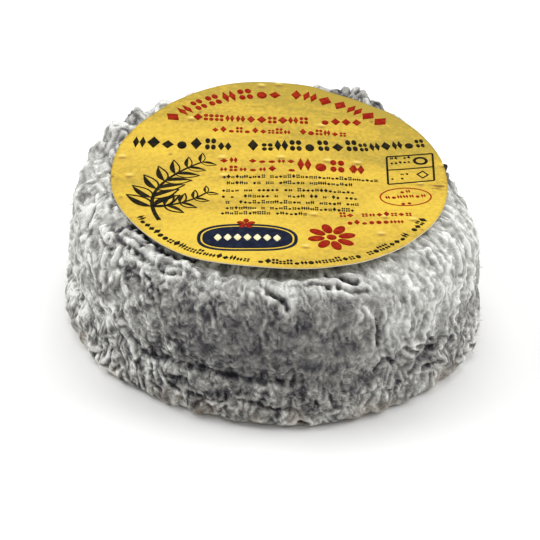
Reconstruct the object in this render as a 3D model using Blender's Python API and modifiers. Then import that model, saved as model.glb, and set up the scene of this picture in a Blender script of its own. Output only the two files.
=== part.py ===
"""A small round goat's milk cheese with an ash-coated, wrinkled rind, and the round paper label on it.

Metres, +Z up. The origin is at the middle of the base, on the flat that the cheese stands on. The side seen
from the front faces -Y. Both pieces are turned from a profile, and then every point is moved by rules.
"""

import math
import random

import bpy
import numpy as np

MM = 0.001

# Driving sizes of the cheese
RADIUS = 40.2 * MM  # at mid height, the mean of the uneven outline
HEIGHT = 29.0 * MM  # base to top face
SHOULDER = 8.5 * MM  # radius of the rounding between side and top
FOOT_ROUND = 2.6 * MM  # radius of the rounding between side and base
STANDING_RADIUS = 33.0 * MM  # of the flat under the base
LOW_CLEARANCE = 0.12 * MM  # least height over the floor of anything outside that flat
FOOT_SPREAD = 1.4 * MM  # how much further out the side is at the base than under the shoulder
TOP_LEAN = (-0.010, 0.0145)  # rise of the top face per metre to the right and to the back

# How far the outline leaves a circle: (lobes round it, cosine part, sine part)
OUTLINE = (
    (2, -0.7 * MM, -0.7 * MM),
    (3, -0.4 * MM, -0.3 * MM),
    (4, -0.1 * MM, -0.5 * MM),
    (5, 0.4 * MM, -0.3 * MM),
)

# The label, a printed paper disc
LABEL_RADIUS = 33.1 * MM
LABEL_CENTRE = (0.75 * MM, 0.9 * MM)
LABEL_THICKNESS = 0.3 * MM
LABEL_LIFT = 0.9 * MM  # height of the middle of its underside over the top face
LABEL_PROP = 1.35 * MM  # how far its front edge is propped up
LABEL_CURL = 0.4 * MM  # how far its back edge has curled up
LABEL_SAG = 0.85 * MM  # how far its left and right edges hang down
LABEL_TWIST = 0.7 * MM  # how far its front left and back right are drawn down, and the others up
LABEL_COCKLE = 0.22 * MM  # height of the shallow waves all over it
LABEL_EDGE_WAVE = 0.2 * MM  # height of the seven waves round its edge
PRESSED_GAP = 0.5 * MM  # left between the rind and the underside of the label

# Stretches of the side, in degrees from +X: (the way it faces, how far it reaches to both sides of that)
FRONT = (-100, 48)
FRONT_RIGHT = (-42, 13)
FAR_LEFT = (186, 26)
LEFT = (162, 58)
BACK_RIGHT = (14, 30)

# The relief of the rind: how high or deep each form is, and how far apart or wide
SWELL, SWELL_SPACING = 0.35 * MM, 27.0 * MM
SLUMP = 1.2 * MM  # how far the shoulder has sunk at the back right
WAIST_DEPTH, WAIST_WIDTH = 1.0 * MM, 1.5 * MM  # a groove round the side, deepest in front
WAIST_HEIGHT, WAIST_WANDER = 10.6 * MM, 1.1 * MM  # its height over the base, and how far that varies
SHALLOW_WAIST = 0.35  # its depth elsewhere, over that in front
RIM_CREST, CREST_INSET = 0.55 * MM, -2.4 * MM  # just outside the label's front edge
RIM_HOLLOW, HOLLOW_INSET = 1.4 * MM, 1.5 * MM  # just inside it; inset from where the top face begins
RIM_WIDTH = 1.7 * MM
FOLD_HEIGHT, FOLD_SPACING = 0.75 * MM, 6.6 * MM  # thick folds over the left shoulder
FOOT_LOBE, FOOT_LOBE_SPACING = 0.5 * MM, 5.6 * MM
FOOT_LOBE_HEIGHT = 3.0 * MM  # of their middle over the base
FOOT_LOBE_REACH = 2.6 * MM  # up and down from there
WRINKLE_HEIGHT, WRINKLE_SPACING = 0.42 * MM, 5.0 * MM
CALM_INSET, CALM_WIDTH, CALM_SHARE = 9.0 * MM, 6.0 * MM, 0.6  # where the top face is smoother

# The mesh
TURN_STEPS = 178
ROW_SPACING = 1.4 * MM
TOP_ROWS = 6  # rings on the top face, from its edge inwards
FOOT_TURNS = (30, 62)  # degrees round the foot's rounding at which it has rings
LABEL_STEPS = 64
LABEL_RINGS = 6
MERGE = 0.01 * MM

CORE_RADIUS = RADIUS - SHOULDER
CORE_TOP = HEIGHT - SHOULDER
SHOULDER_ARC = SHOULDER * math.pi / 2


def near(value, middle, width):
    """1 at the middle, falling away smoothly to 0 over about two widths."""
    return np.exp(-(((value - middle) / width) ** 2))


def facing(theta, stretch):
    """1 on that stretch of the side, falling away smoothly to 0 past its ends."""
    middle, reach = stretch
    off = (np.degrees(theta) - middle + 180) % 360 - 180
    return np.exp(-((off / reach) ** 4))


def crests(theta, along, spacing, upright, seed, waves=18):
    """Random crests and furrows about that far apart, from -1 to 1.

    With upright 0 they run every way alike, and with upright 1 straight up the side.
    """
    draw = random.Random(seed)
    total = np.zeros_like(theta)
    for _ in range(waves):
        heading = draw.uniform(-1, 1) * (1 - upright) * math.pi / 2
        waves_per_metre = 1 / (spacing * draw.uniform(0.8, 1.4))
        turns = round(math.tau * RADIUS * waves_per_metre * math.cos(heading))
        climb = math.tau * waves_per_metre * math.sin(heading)
        total += np.cos(turns * theta + climb * along + draw.uniform(0, math.tau))
    return np.tanh(1.3 * total / math.sqrt(waves / 2))


def outline(theta):
    """The outline's radius over that of a circle."""
    wander = sum(c * np.cos(n * theta) + s * np.sin(n * theta) for n, c, s in OUTLINE)
    return 1 + wander / RADIUS


def lean(x, y):
    """Rise of the top face, which isn't quite level."""
    return TOP_LEAN[0] * x + TOP_LEAN[1] * y


def label_underside(x, y):
    """Height of the label's underside: bent like a saddle, a little twisted, and gently cockled."""
    across = (x - LABEL_CENTRE[0]) / LABEL_RADIUS
    back = (y - LABEL_CENTRE[1]) / LABEL_RADIUS
    out = across**2 + back**2
    ends = LABEL_PROP * np.clip(-back, 0, 1) ** 2 + LABEL_CURL * np.clip(back, 0, 1) ** 2
    sides = LABEL_SAG * across**2 + LABEL_TWIST * across * back
    cockle = LABEL_COCKLE * np.sin(5.2 * across + 2.6 * back + 0.8) * np.cos(4.4 * back - 1.9 * across)
    edge = LABEL_EDGE_WAVE * out**3 * np.sin(7 * np.arctan2(back, across) + 1.0)
    return HEIGHT + LABEL_LIFT + lean(x, y) + ends - sides + cockle + edge


def relief(theta, along, height):
    """How far the rind stands out from the turned shape. along runs up the side and in over the top."""
    over_top = along - CORE_TOP - SHOULDER_ARC
    over_shoulder = along - CORE_TOP - SHOULDER_ARC / 2
    front = facing(theta, FRONT)

    swell = SWELL * crests(theta, along, SWELL_SPACING, 0.2, seed=3, waves=7)
    slump = SLUMP * facing(theta, BACK_RIGHT) * near(over_shoulder, 0, 0.8 * SHOULDER)
    level = WAIST_HEIGHT + WAIST_WANDER * np.sin(3 * theta + 0.6)
    deep = np.maximum(front, np.maximum(facing(theta, FRONT_RIGHT), facing(theta, FAR_LEFT)))
    share = SHALLOW_WAIST + (1 - SHALLOW_WAIST) * deep
    waist = WAIST_DEPTH * share * near(along, level, WAIST_WIDTH)
    crest = RIM_CREST * front * near(over_top, CREST_INSET, RIM_WIDTH)
    hollow = RIM_HOLLOW * front * near(over_top, HOLLOW_INSET, RIM_WIDTH)
    folds = FOLD_HEIGHT * crests(theta, along, FOLD_SPACING, 0.8, seed=11)
    folds = folds * facing(theta, LEFT) * near(over_shoulder, 0, SHOULDER)
    lobes = FOOT_LOBE * crests(theta, along, FOOT_LOBE_SPACING, 0.6, seed=5)
    lobes = lobes * near(height, FOOT_LOBE_HEIGHT, FOOT_LOBE_REACH)
    wrinkles = WRINKLE_HEIGHT * crests(theta, along, WRINKLE_SPACING, 0.45, seed=8)
    calm = 1 - CALM_SHARE * near(over_top, CALM_INSET, CALM_WIDTH)
    return (swell + crest + folds + lobes + wrinkles) * calm - waist - hollow - slump


def cheese_profile():
    """Half of the plain shape's outline, from the axis over the top and down the outside to the axis."""
    inner = CORE_RADIUS - TOP_ROWS * ROW_SPACING
    points = [(0, HEIGHT), (inner / 2, HEIGHT)]
    points += [(inner + row * ROW_SPACING, HEIGHT) for row in range(TOP_ROWS)]
    arc_rows = round(SHOULDER_ARC / ROW_SPACING)
    for row in range(arc_rows + 1):
        turn = math.pi / 2 * (1 - row / arc_rows)
        points.append((CORE_RADIUS + SHOULDER * math.cos(turn), CORE_TOP + SHOULDER * math.sin(turn)))
    side_rows = round((CORE_TOP - FOOT_ROUND) / ROW_SPACING)
    for row in range(1, side_rows + 1):
        points.append((RADIUS, CORE_TOP - (CORE_TOP - FOOT_ROUND) * row / side_rows))
    for turn in map(math.radians, FOOT_TURNS):
        points.append((RADIUS - FOOT_ROUND * (1 - math.cos(turn)), FOOT_ROUND * (1 - math.sin(turn))))
    points += [(STANDING_RADIUS + 2 * MM, 2 * LOW_CLEARANCE), (STANDING_RADIUS, 0), (0, 0)]
    return points


def turned(name, profile, steps, collection):
    """An object turned about Z from a profile that runs from the top down its outer side."""
    edges = [(i, i + 1) for i in range(len(profile) - 1)]
    line = bpy.data.meshes.new(name + "_profile")
    line.from_pydata([(r, 0, z) for r, z in profile], edges, [])
    guide = bpy.data.objects.new(name + "_profile", line)
    collection.objects.link(guide)
    screw = guide.modifiers.new("Turn", "SCREW")
    screw.steps = screw.render_steps = steps
    screw.use_merge_vertices = True
    screw.merge_threshold = MERGE
    graph = bpy.context.evaluated_depsgraph_get()
    mesh = bpy.data.meshes.new_from_object(guide.evaluated_get(graph))
    bpy.data.objects.remove(guide)
    piece = bpy.data.objects.new(name, mesh)
    mesh.name = name
    collection.objects.link(piece)
    return piece


def points_of(mesh):
    flat = np.empty(len(mesh.vertices) * 3, np.float32)
    mesh.vertices.foreach_get("co", flat)
    return flat.reshape(-1, 3).astype(float)


def set_points(mesh, points):
    mesh.vertices.foreach_set("co", points.astype(np.float32).ravel())
    mesh.update()
    mesh.shade_smooth()


def wrinkle_rind(piece):
    """Gives the turned cheese its uneven outline and its relief, and presses it down under the label.

    Each point moves straight away from a core: the disc inside the shoulder and the foot's rounding.
    """
    x, y, z = points_of(piece.data).T
    theta, rho = np.arctan2(y, x), np.hypot(x, y)
    core_rho = np.minimum(rho, CORE_RADIUS)
    core_z = np.clip(z, FOOT_ROUND, CORE_TOP)
    out, up = rho - core_rho, z - core_z
    length = np.maximum(np.hypot(out, up), MERGE)
    out, up = out / length, up / length
    turn = np.arctan2(np.maximum(z - CORE_TOP, 0), np.maximum(rho - CORE_RADIUS, 0))
    along = np.minimum(z, CORE_TOP) + SHOULDER * turn + (CORE_RADIUS - core_rho) * (z > CORE_TOP)

    off_flat = np.clip((rho - STANDING_RADIUS) / (4 * MM) + (z > CORE_TOP), 0, 1)
    raised = relief(theta, along, z) * off_flat
    spread = FOOT_SPREAD * np.clip(1 - z / CORE_TOP, 0, 1) ** 1.5 * (rho > STANDING_RADIUS + MM)
    rho = (rho + raised * out + spread) * outline(theta)
    x, y = rho * np.cos(theta), rho * np.sin(theta)
    lifted = z + raised * up + lean(x, y) * z / HEIGHT
    z = np.where(z > MERGE, np.maximum(lifted, LOW_CLEARANCE), 0)
    under = np.hypot(x - LABEL_CENTRE[0], y - LABEL_CENTRE[1]) < LABEL_RADIUS + ROW_SPACING
    z = np.where(under & (z > CORE_TOP), np.minimum(z, label_underside(x, y) - PRESSED_GAP), z)
    set_points(piece.data, np.stack([x, y, z], axis=-1))


def lay_label(piece):
    """Bends the flat disc to the label's cockled shape."""
    x, y, _ = points_of(piece.data).T
    x, y = x + LABEL_CENTRE[0], y + LABEL_CENTRE[1]
    set_points(piece.data, np.stack([x, y, label_underside(x, y)], axis=-1))
    paper = piece.modifiers.new("Paper", "SOLIDIFY")
    paper.thickness = LABEL_THICKNESS
    paper.offset = 1


def centre_over_origin(pieces):
    """Moves all pieces alike, so that the middle of what they cover lies over the origin."""
    clouds = [points_of(piece.data) for piece in pieces]
    corners = np.concatenate(clouds)
    middle = (corners.min(axis=0) + corners.max(axis=0)) / 2
    for piece, points in zip(pieces, clouds):
        set_points(piece.data, points - [middle[0], middle[1], 0])


def material(name, colour, roughness):
    finish = bpy.data.materials.new(name)
    finish.use_nodes = True
    shader = finish.node_tree.nodes["Principled BSDF"]
    shader.inputs["Base Color"].default_value = (*colour, 1)
    shader.inputs["Roughness"].default_value = roughness
    shader.inputs["Metallic"].default_value = 0
    return finish


for old in list(bpy.data.objects):
    bpy.data.objects.remove(old)
parts = bpy.data.collections.new("ash_coated_goat_cheese")
bpy.context.scene.collection.children.link(parts)

cheese = turned("cheese", cheese_profile(), TURN_STEPS, parts)
wrinkle_rind(cheese)
cheese.data.materials.append(material("ash_rind", (0.36, 0.36, 0.355), 0.9))

label_line = [(LABEL_RADIUS * ring / LABEL_RINGS, 0) for ring in range(LABEL_RINGS + 1)]
label = turned("label", label_line, LABEL_STEPS, parts)
lay_label(label)
label.data.materials.append(material("gold_paper", (0.78, 0.60, 0.09), 0.4))

centre_over_origin([cheese, label])
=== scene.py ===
"""Looks of a small round goat's milk cheese: its ash-coated wrinkled rind, and the printed paper label on it.

Metres, +Z up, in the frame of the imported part. The side seen in the photograph faces -Y.
"""

import math
import random

import bmesh
import bpy
import numpy as np
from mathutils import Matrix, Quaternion, Vector


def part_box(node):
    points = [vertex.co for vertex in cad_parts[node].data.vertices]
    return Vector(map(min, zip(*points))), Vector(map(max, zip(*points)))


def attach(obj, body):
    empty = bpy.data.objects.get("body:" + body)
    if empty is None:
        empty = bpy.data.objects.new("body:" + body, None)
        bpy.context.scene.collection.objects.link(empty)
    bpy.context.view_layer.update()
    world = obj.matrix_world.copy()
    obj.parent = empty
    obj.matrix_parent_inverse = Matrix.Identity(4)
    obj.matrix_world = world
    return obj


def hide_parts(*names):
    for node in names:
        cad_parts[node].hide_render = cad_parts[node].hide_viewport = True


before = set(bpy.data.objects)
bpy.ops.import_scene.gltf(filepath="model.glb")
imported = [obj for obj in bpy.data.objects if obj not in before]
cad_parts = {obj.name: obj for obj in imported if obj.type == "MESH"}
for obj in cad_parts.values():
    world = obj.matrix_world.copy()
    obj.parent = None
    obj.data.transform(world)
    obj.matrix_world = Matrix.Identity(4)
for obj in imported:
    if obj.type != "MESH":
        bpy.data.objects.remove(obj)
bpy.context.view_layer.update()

# The cheese
# A drained round of soft goat's milk paste, about 150 g, rolled in salted wood ash and ripened for weeks. Its
# rind is a skin of grey-white mould that has crept into ropes, folds and a fine net. The pale bloom is on the
# crests, and the ash shows dark in the creases. It has sunk and spread a little where it stands.

MM = 0.001
RADIUS = 40.2 * MM
HEIGHT = 29.0 * MM
SHOULDER = 8.5 * MM
FOOT_ROUND = 2.6 * MM
STANDING_RADIUS = 33.0 * MM
LOW_CLEARANCE = 0.12 * MM
FOOT_SPREAD = 1.4 * MM
FOOT_FADE, SETTLED_HEIGHT = 4 * MM, 5 * MM  # the relief fades out on the base, and is low round the foot
TOP_LEAN = (-0.010, 0.0145)
OUTLINE = ((2, -0.7, -0.7), (3, -0.4, -0.3), (4, -0.1, -0.5), (5, 0.4, -0.3))  # lobes, cosine and sine in mm

# The rind is pressed flat under the label, so the label's place is needed here as well
label_low, label_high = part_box("label")
LABEL_RADIUS = 33.1 * MM
LABEL_CENTRE = (0.75 * MM, 0.9 * MM)
LABEL_LIFT = 0.9 * MM
LABEL_PROP = 1.35 * MM
LABEL_CURL = 0.4 * MM
LABEL_SAG = 0.85 * MM
LABEL_TWIST = 0.7 * MM
LABEL_COCKLE = 0.22 * MM
LABEL_EDGE_WAVE = 0.2 * MM
LABEL_EDGE_BENDS = ((64, 13, -0.9 * MM), (24, 16, 0.5 * MM), (148, 12, -0.5 * MM), (-52, 14, -0.5 * MM))
PRESSED_GAP, PRESSED_MARGIN = 0.45 * MM, 0.3 * MM
AXIS = (
    (label_low.x + label_high.x) / 2 - LABEL_CENTRE[0],
    (label_low.y + label_high.y) / 2 - LABEL_CENTRE[1],
)

# Stretches of the side, in degrees from +X: (the way it faces, how far it reaches to both sides of that)
FRONT = (-100, 48)
FRONT_RIGHT = (-42, 13)
FAR_LEFT = (186, 26)
LEFT = (162, 58)
BACK_RIGHT = (14, 30)
NET_SIDE = (-28, 44)
CURL_SIDE = (-95, 34)
DRAWN_SIDE = (206, 36)  # where the skin is drawn into thin sharp folds
GRITTY_SIDE = (230, 25)  # where the ash lies coarsest

# The large relief, as on the part's solid
SWELL, SWELL_SPACING = 0.35 * MM, 27.0 * MM
SLUMP = 0.7 * MM
WAIST_DEPTH, WAIST_WIDTH = 1.0 * MM, 1.5 * MM
WAIST_HEIGHT, WAIST_WANDER = 10.6 * MM, 1.1 * MM
SHALLOW_WAIST = 0.35
RIM_CREST, CREST_INSET = 0.55 * MM, -2.4 * MM
RIM_HOLLOW, HOLLOW_INSET = 1.4 * MM, 1.5 * MM
RIM_WIDTH = 1.7 * MM
FOLD_HEIGHT, FOLD_SPACING = 0.75 * MM, 6.6 * MM
FOOT_LOBE, FOOT_LOBE_SPACING = 0.5 * MM, 5.6 * MM
FOOT_LOBE_HEIGHT, FOOT_LOBE_REACH = 3.0 * MM, 2.6 * MM
WRINKLE_HEIGHT, WRINKLE_SPACING = 0.42 * MM, 5.0 * MM
CALM_INSET, CALM_WIDTH, CALM_SHARE = 9.0 * MM, 6.0 * MM, 0.6

# The fine relief, on a grid that is unrolled round the side and up it
GRID_ROUND, GRID_UP = 760, 160
GRID_STEP = math.tau * RADIUS / GRID_ROUND
ROPE_SPACING, ROPE_HEIGHT = 1.85 * MM, 0.55 * MM  # rounded ropes with narrow creases, but for the net's side
CURL_SPACING, CURL_HEIGHT = 1.25 * MM, 0.20 * MM  # fine curls over everything
NET_WIDTH, NET_LENGTH, NET_HEIGHT = 2.2 * MM, 4.2 * MM, 0.28 * MM  # thin walls round long pits, on the right
VEIN_SPACING, VEIN_HEIGHT = 1.7 * MM, 0.30 * MM  # thin sharp ridges that wander over the ropes
PINCH = 0.3  # how far a crest widens over its creases, over its height
# Crease darkening and crest lightening: partly the ash and bloom they hold, partly painted shade in the
# creases and painted light on the crests
CAVITY_REACH, CAVITY_DEPTH, CAVITY_SHADE = 0.8 * MM, 0.12 * MM, 0.23  # creases hold ash, crests bloom
# The slits are darkened, partly with soot and partly with painted shade in the cut
SLIT_SOOT_AND_SHADE, RIDGE_BLOOM, BLOOM_MEAN = 0.18, 0.08, 0.60

# The tables of the rind are in degrees round and in millimetres, with heights measured up the unrolled side.
# Stretches with ropes of their own:
# (spacing, height, whether they run up the side (+) or round it (-), faces, (height up, reach), seed)
OTHER_ROPES = (
    (2.2, 0.4, -1.0, (234, 36), (31.0, 3.4), 13),
    (1.0, 0.42, -0.3, (328, 15), (10.0, 2.8), 55),
    (1.25, 0.38, 0.0, (275, 22), (29.3, 2.6), 56),
    (1.2, 0.45, -0.4, (230, 24), (15.0, 4.5), 51),
    (2.0, 0.42, 0.4, (262, 62), (4.0, 4.0), 52),
    (1.3, 0.5, 0.0, (316, 24), (9.0, 5.0), 53),
    (1.25, 0.32, 0.0, (265, 34), (18.0, 9.0), 54),
)

# Stretches where the skin is drawn smooth: (faces, (height up, reach), how smooth)
SMOOTH = (
    ((273, 30), (33.6, 1.9), 0.8),
    ((218, 23), (31.4, 2.2), 0.95),
    ((216, 6), (23.0, 3.0), 0.55),
    ((198, 6), (28.5, 2.2), 0.5),
    ((310, 10), (31.0, 2.5), 0.5),
)

# Places where the skin has split or folded under: (width, depth, then points on the line of it)
SLITS = (
    (0.6, 1.5, (288.4, 34.8), (290.3, 33.5), (293.0, 31.9), (296.6, 30.5)),
    (0.55, 0.7, (286, 31.2), (290, 30.6), (294, 29.4), (299, 28.4)),
    (0.52, 1.3, (268.6, 29.9), (271.2, 29.6), (273.2, 28.7), (274.4, 27.0)),
    (0.35, 0.5, (266.5, 30.9), (268.6, 30.6)),
    (0.36, 0.9, (299.2, 22.6), (299.9, 19.3), (300.3, 16.3)),
    (0.35, 0.5, (252.0, 26.2), (253.3, 25.2), (254.3, 23.6)),
    (0.8, 0.9, (211, 33.0), (220, 33.4), (226, 32.8), (232, 32.4)),
    (1.0, 1.3, (232, 33.0), (240, 34.6)),
    (0.5, 0.7, (211.0, 30.2), (210.6, 31.8)),
    (0.42, 0.6, (209.5, 29.4), (215.0, 29.3), (223.5, 29.2), (230.0, 29.0)),
    (0.5, 0.4, (219.5, 29.1), (223.0, 29.1)),
    (0.4, 0.8, (232.2, 29.4), (234.5, 28.7), (237.0, 28.8), (239.5, 29.8)),
    (0.4, 0.5, (207.0, 26.9), (211.0, 26.6), (215.0, 27.3)),
    (0.5, 0.6, (218.5, 25.3), (221.0, 25.0)),
    (0.45, 0.6, (195.5, 31.6), (200.3, 31.3)),
    (0.4, 0.8, (193.0, 29.4), (195.0, 27.2), (196.5, 26.2)),
    (0.8, 0.9, (196.3, 25.4), (199.0, 24.8), (202.5, 25.6)),
    (0.35, 0.7, (229.0, 26.7), (231.5, 26.1), (233.0, 25.0)),
    (0.45, 0.8, (280.6, 31.7), (285.5, 31.2), (290.0, 30.3)),
    (0.4, 0.6, (300.2, 13.7), (303.5, 12.4), (305.5, 10.9)),
    (0.4, 0.6, (309.0, 13.5), (311.5, 12.0), (313.5, 11.0)),
    (2.2, 0.9, (186, 10.8), (200, 10.2)),
    (0.6, 0.3, (231, 9.6), (236, 10.0), (241, 10.8), (247, 10.5)),
    (0.5, 0.2, (247, 10.5), (253, 11.4), (258, 11.0), (265, 10.7)),
    (0.5, 0.3, (265, 10.7), (271, 10.3), (277.5, 10.6)),
    (0.35, 0.4, (241.5, 6.6), (243.0, 5.3), (250.0, 5.2), (256.5, 4.8)),
    (0.35, 0.4, (262.0, 6.2), (266.0, 5.6), (269.5, 4.9), (278.0, 4.3)),
    (0.32, 0.4, (247.3, 5.4), (247.8, 3.4)),
    (0.32, 0.4, (258.6, 6.8), (258.4, 3.6)),
    (0.32, 0.3, (282.5, 6.5), (284.0, 3.0)),
    (0.32, 0.3, (286.5, 7.0), (287.3, 5.0), (291.5, 3.6)),
    (0.35, 0.6, (235.2, 8.0), (235.6, 4.2), (239.6, 3.6)),
    (0.35, 0.6, (219.5, 7.2), (220.6, 5.0), (220.0, 2.0)),
    (0.5, 2.0, (278.6, 1.3), (280.4, 1.1)),
    (0.35, 0.6, (319.0, 12.3), (317.6, 13.2), (317.0, 14.8)),
    (0.35, 0.5, (310.0, 13.4), (312.5, 13.0), (315.0, 12.1)),
    (0.6, 0.7, (318.2, 10.6), (320.0, 10.0), (322.5, 9.4)),
    (0.35, 0.6, (315.0, 7.0), (317.5, 7.3), (320.5, 6.6), (322.2, 5.8)),
    (0.6, 0.3, (304.8, 8.4), (305.2, 7.0), (306.5, 6.8)),
    (0.35, 0.6, (299.6, 10.6), (299.9, 12.2), (301.5, 12.8)),
    (0.5, 0.6, (327.2, 8.8), (329.0, 8.7)),
    (0.4, 0.5, (332.0, 4.6), (338.5, 4.6)),
)

# Thicker ropes and knobs that stand over the rest: (width, height, then points on the line of it)
RIDGES = (
    (0.55, 0.5, (203.0, 28.5), (209.8, 28.4), (216.0, 30.1), (231.0, 30.5)),
    (0.4, 0.45, (231.0, 30.5), (236.0, 31.3), (241.0, 31.5), (246.0, 30.8)),
    (0.4, 0.5, (205, 27.9), (210, 27.4), (216.2, 27.9), (217.4, 26.6), (217.7, 25.0)),
    (0.35, 0.4, (224.6, 28.2), (227.0, 27.4), (228.8, 26.3)),
    (0.35, 0.35, (213.8, 25.5), (214.4, 23.0), (214.0, 20.0)),
    (0.5, 0.45, (234.4, 24.8), (235.6, 23.0), (232.5, 21.9), (230.6, 22.3)),
    (0.35, 0.35, (253.7, 24.3), (254.0, 22.7), (254.4, 21.2)),
    (0.4, 0.4, (223.0, 14.8), (224.4, 11.4), (227.5, 9.6), (230.0, 7.8)),
    (0.35, 0.3, (268.7, 24.8), (267.5, 22.5), (268.3, 20.0)),
    (0.45, 0.5, (297.4, 25.5), (298.6, 22.5), (298.2, 20.5), (299.0, 16.6)),
    (0.4, 0.45, (302.4, 24.3), (302.2, 20.8), (303.2, 15.8), (305.6, 11.8)),
    (0.35, 0.4, (307.0, 26.0), (307.8, 23.0), (307.3, 20.5)),
    (0.4, 0.4, (312.8, 29.6), (312.6, 27.0), (311.0, 24.4)),
    (0.4, 0.4, (310.0, 19.8), (309.6, 17.5), (310.3, 15.0)),
    (0.45, 0.5, (319.5, 25.0), (320.5, 20.5), (318.0, 18.0), (316.0, 15.0)),
    (0.45, 0.45, (326.4, 31.0), (325.2, 28.0), (325.7, 25.5)),
    (0.5, 0.55, (336.0, 30.5), (335.6, 26.7), (332.6, 23.0), (332.8, 20.7)),
    (0.5, 0.5, (332.0, 18.0), (330.0, 15.3), (331.0, 12.0), (332.5, 9.0)),
    (0.5, 0.5, (343.0, 29.0), (341.5, 24.8), (340.0, 20.3), (341.0, 16.0)),
    (0.5, 0.55, (324.4, 12.6), (325.6, 9.0), (322.5, 8.0), (323.5, 5.8)),
    (2.2, 1.0, (214, 1.6), (222, 1.6)),
    (2.5, 0.7, (332, 2.6), (346, 5.0)),
    (1.2, 1.3, (60, 30.4), (68, 30.6)),
    (0.8, 1.9, (13, 28.9), (19, 29.4)),
    (0.45, 2.3, (26.5, 29.6), (27.5, 29.9)),
    (0.6, 0.9, (140, 29.6), (142, 31.0)),
    (1.6, 1.1, (145.5, 29.2), (151.5, 29.7)),
    (0.32, 0.4, (317.6, 18.5), (315.9, 15.8), (315.8, 14.0), (318.0, 12.3)),
    (0.32, 0.4, (310.5, 13.9), (313.5, 13.2), (316.5, 12.5)),
    (0.32, 0.4, (313.5, 6.4), (315.0, 7.7), (319.5, 7.4), (322.3, 7.8)),
    (0.35, 0.4, (327.2, 7.6), (329.0, 6.0), (328.4, 4.4)),
    (0.32, 0.4, (302.2, 4.0), (303.8, 6.8), (305.0, 8.8)),
    (0.32, 0.4, (306.0, 5.0), (307.2, 3.4), (306.8, 2.2)),
    (0.32, 0.4, (297.6, 6.2), (298.6, 8.0), (300.4, 9.0)),
)

# Flat places between the knobs: (width, depth, then points on the line of it)
DIPS = (
    (1.6, 1.3, (115, 30.6), (125, 31.6), (134, 31.2)),
    (1.5, 0.9, (123, 29.6), (131, 29.0)),
    (1.6, 0.9, (359, 22.6), (366, 25.4)),
    (1.8, 0.7, (40, 31.0), (50, 30.6)),
    (1.5, 0.8, (49, 27.6), (55, 28.6)),
)

# Some dark stretches are painted shade: under the label's edge, in the waist's groove, in a hole by the foot
# and in a slit
# Light and dark stretches of bloom, ash and painted shade: (faces, reach to both sides, height up, reach up,
# paler or darker)
BLOOM_ASH_AND_PAINTED_SHADE = (
    (187, 27, 20, 16, 0.11),
    (335, 38, 24, 12, 0.16),
    (264, 30, 4.6, 4.2, -0.17),
    (320, 16, 5.0, 4.0, -0.10),
    (328, 14, 10.4, 1.6, -0.08),
    (308, 12, 17, 6.0, 0.03),
    (143, 2.5, 29.0, 1.0, -0.40),
    (138, 3, 30.5, 0.8, -0.40),
    (19, 10, 29.2, 1.5, -0.90),
    (63, 9, 29.8, 2.2, -0.45),
    # painted shade in a hole under a lobe of the foot
    (279.5, 1.4, 1.2, 0.9, -0.45),
    (291.5, 2.5, 32.6, 0.8, -0.35),
    # painted shade in a crescent-shaped slit
    (273, 1.8, 28.6, 0.8, -0.30),
    (196, 3, 21.6, 1.3, -0.10),
    (210, 3.5, 19.3, 2.6, -0.11),
    (216, 2.2, 17.6, 0.8, -0.14),
    (225, 2.8, 25.3, 2.2, -0.12),
    (224.5, 1.5, 12.5, 2.4, -0.12),
    (232, 4, 10.0, 0.8, -0.15),
    (244, 2.5, 26.8, 0.9, -0.14),
    (289.5, 3.5, 12.2, 1.3, -0.12),
    (303, 3.0, 12.2, 1.4, -0.12),
    (313, 3.5, 12.4, 1.2, -0.10),
    (336.5, 2.5, 12.5, 1.5, -0.10),
    (307, 2.5, 7.0, 0.8, -0.12),
    (327, 1.2, 28.9, 0.7, -0.16),
    (265, 38, 20, 12, -0.24),
    # this and the next: painted shade in the waist's groove
    (262, 30, 12, 3.0, -0.08),
    (255, 24, 11.1, 1.2, -0.15),
    (222, 16, 5.0, 3.5, -0.10),
    (243, 5, 19.6, 1.2, -0.12),
    (253, 3, 12.6, 1.5, -0.10),
    (314, 16, 11, 3, -0.14),
    (321, 5, 10.5, 1.6, -0.08),
    (345, 10, 11, 3, -0.12),
    (266, 42, 29.9, 1.8, 0.20),
    # painted shade under the label's left edge, with some dark ash
    (222, 16, 31.5, 2.2, -0.14),
    (268, 24, 33.8, 1.2, 0.15),
    # painted shadow right under the label's left edge
    (222, 12, 33.2, 0.8, -0.25),
    (220, 16, 29.0, 3.0, -0.05),
    (226, 13, 20, 8, 0.07),
    (80, 60, 20, 12, 0.10),
    (130, 25, 9, 5, -0.15),
    (50, 18, 12, 6, -0.12),
)

CORE_RADIUS = RADIUS - SHOULDER
CORE_TOP = HEIGHT - SHOULDER
SHOULDER_ARC = SHOULDER * math.pi / 2
MERGE = 0.002 * MM


def near(value, middle, width):
    """1 at the middle, falling away smoothly to 0 over about two widths."""
    return np.exp(-(((value - middle) / width) ** 2))


def facing(theta, stretch):
    """1 on that stretch of the side, falling away smoothly to 0 past its ends."""
    middle, reach = stretch
    off = (np.degrees(theta) - middle + 180) % 360 - 180
    return np.exp(-((off / reach) ** 4))


def stretch_share(theta, along, faces, place):
    """1 on that stretch of the side at that (height up, reach) in millimetres, falling away round it."""
    return facing(theta, faces) * near(along, place[0] * MM, place[1] * MM)


def crests(theta, along, spacing, upright, seed, waves=18):
    """Random crests and furrows about that far apart, from -1 to 1, as on the part's solid."""
    draw = random.Random(seed)
    total = np.zeros_like(theta)
    for _ in range(waves):
        heading = draw.uniform(-1, 1) * (1 - upright) * math.pi / 2
        waves_per_metre = 1 / (spacing * draw.uniform(0.8, 1.4))
        turns = round(math.tau * RADIUS * waves_per_metre * math.cos(heading))
        climb = math.tau * waves_per_metre * math.sin(heading)
        total += np.cos(turns * theta + climb * along + draw.uniform(0, math.tau))
    return np.tanh(1.3 * total / math.sqrt(waves / 2))


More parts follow.
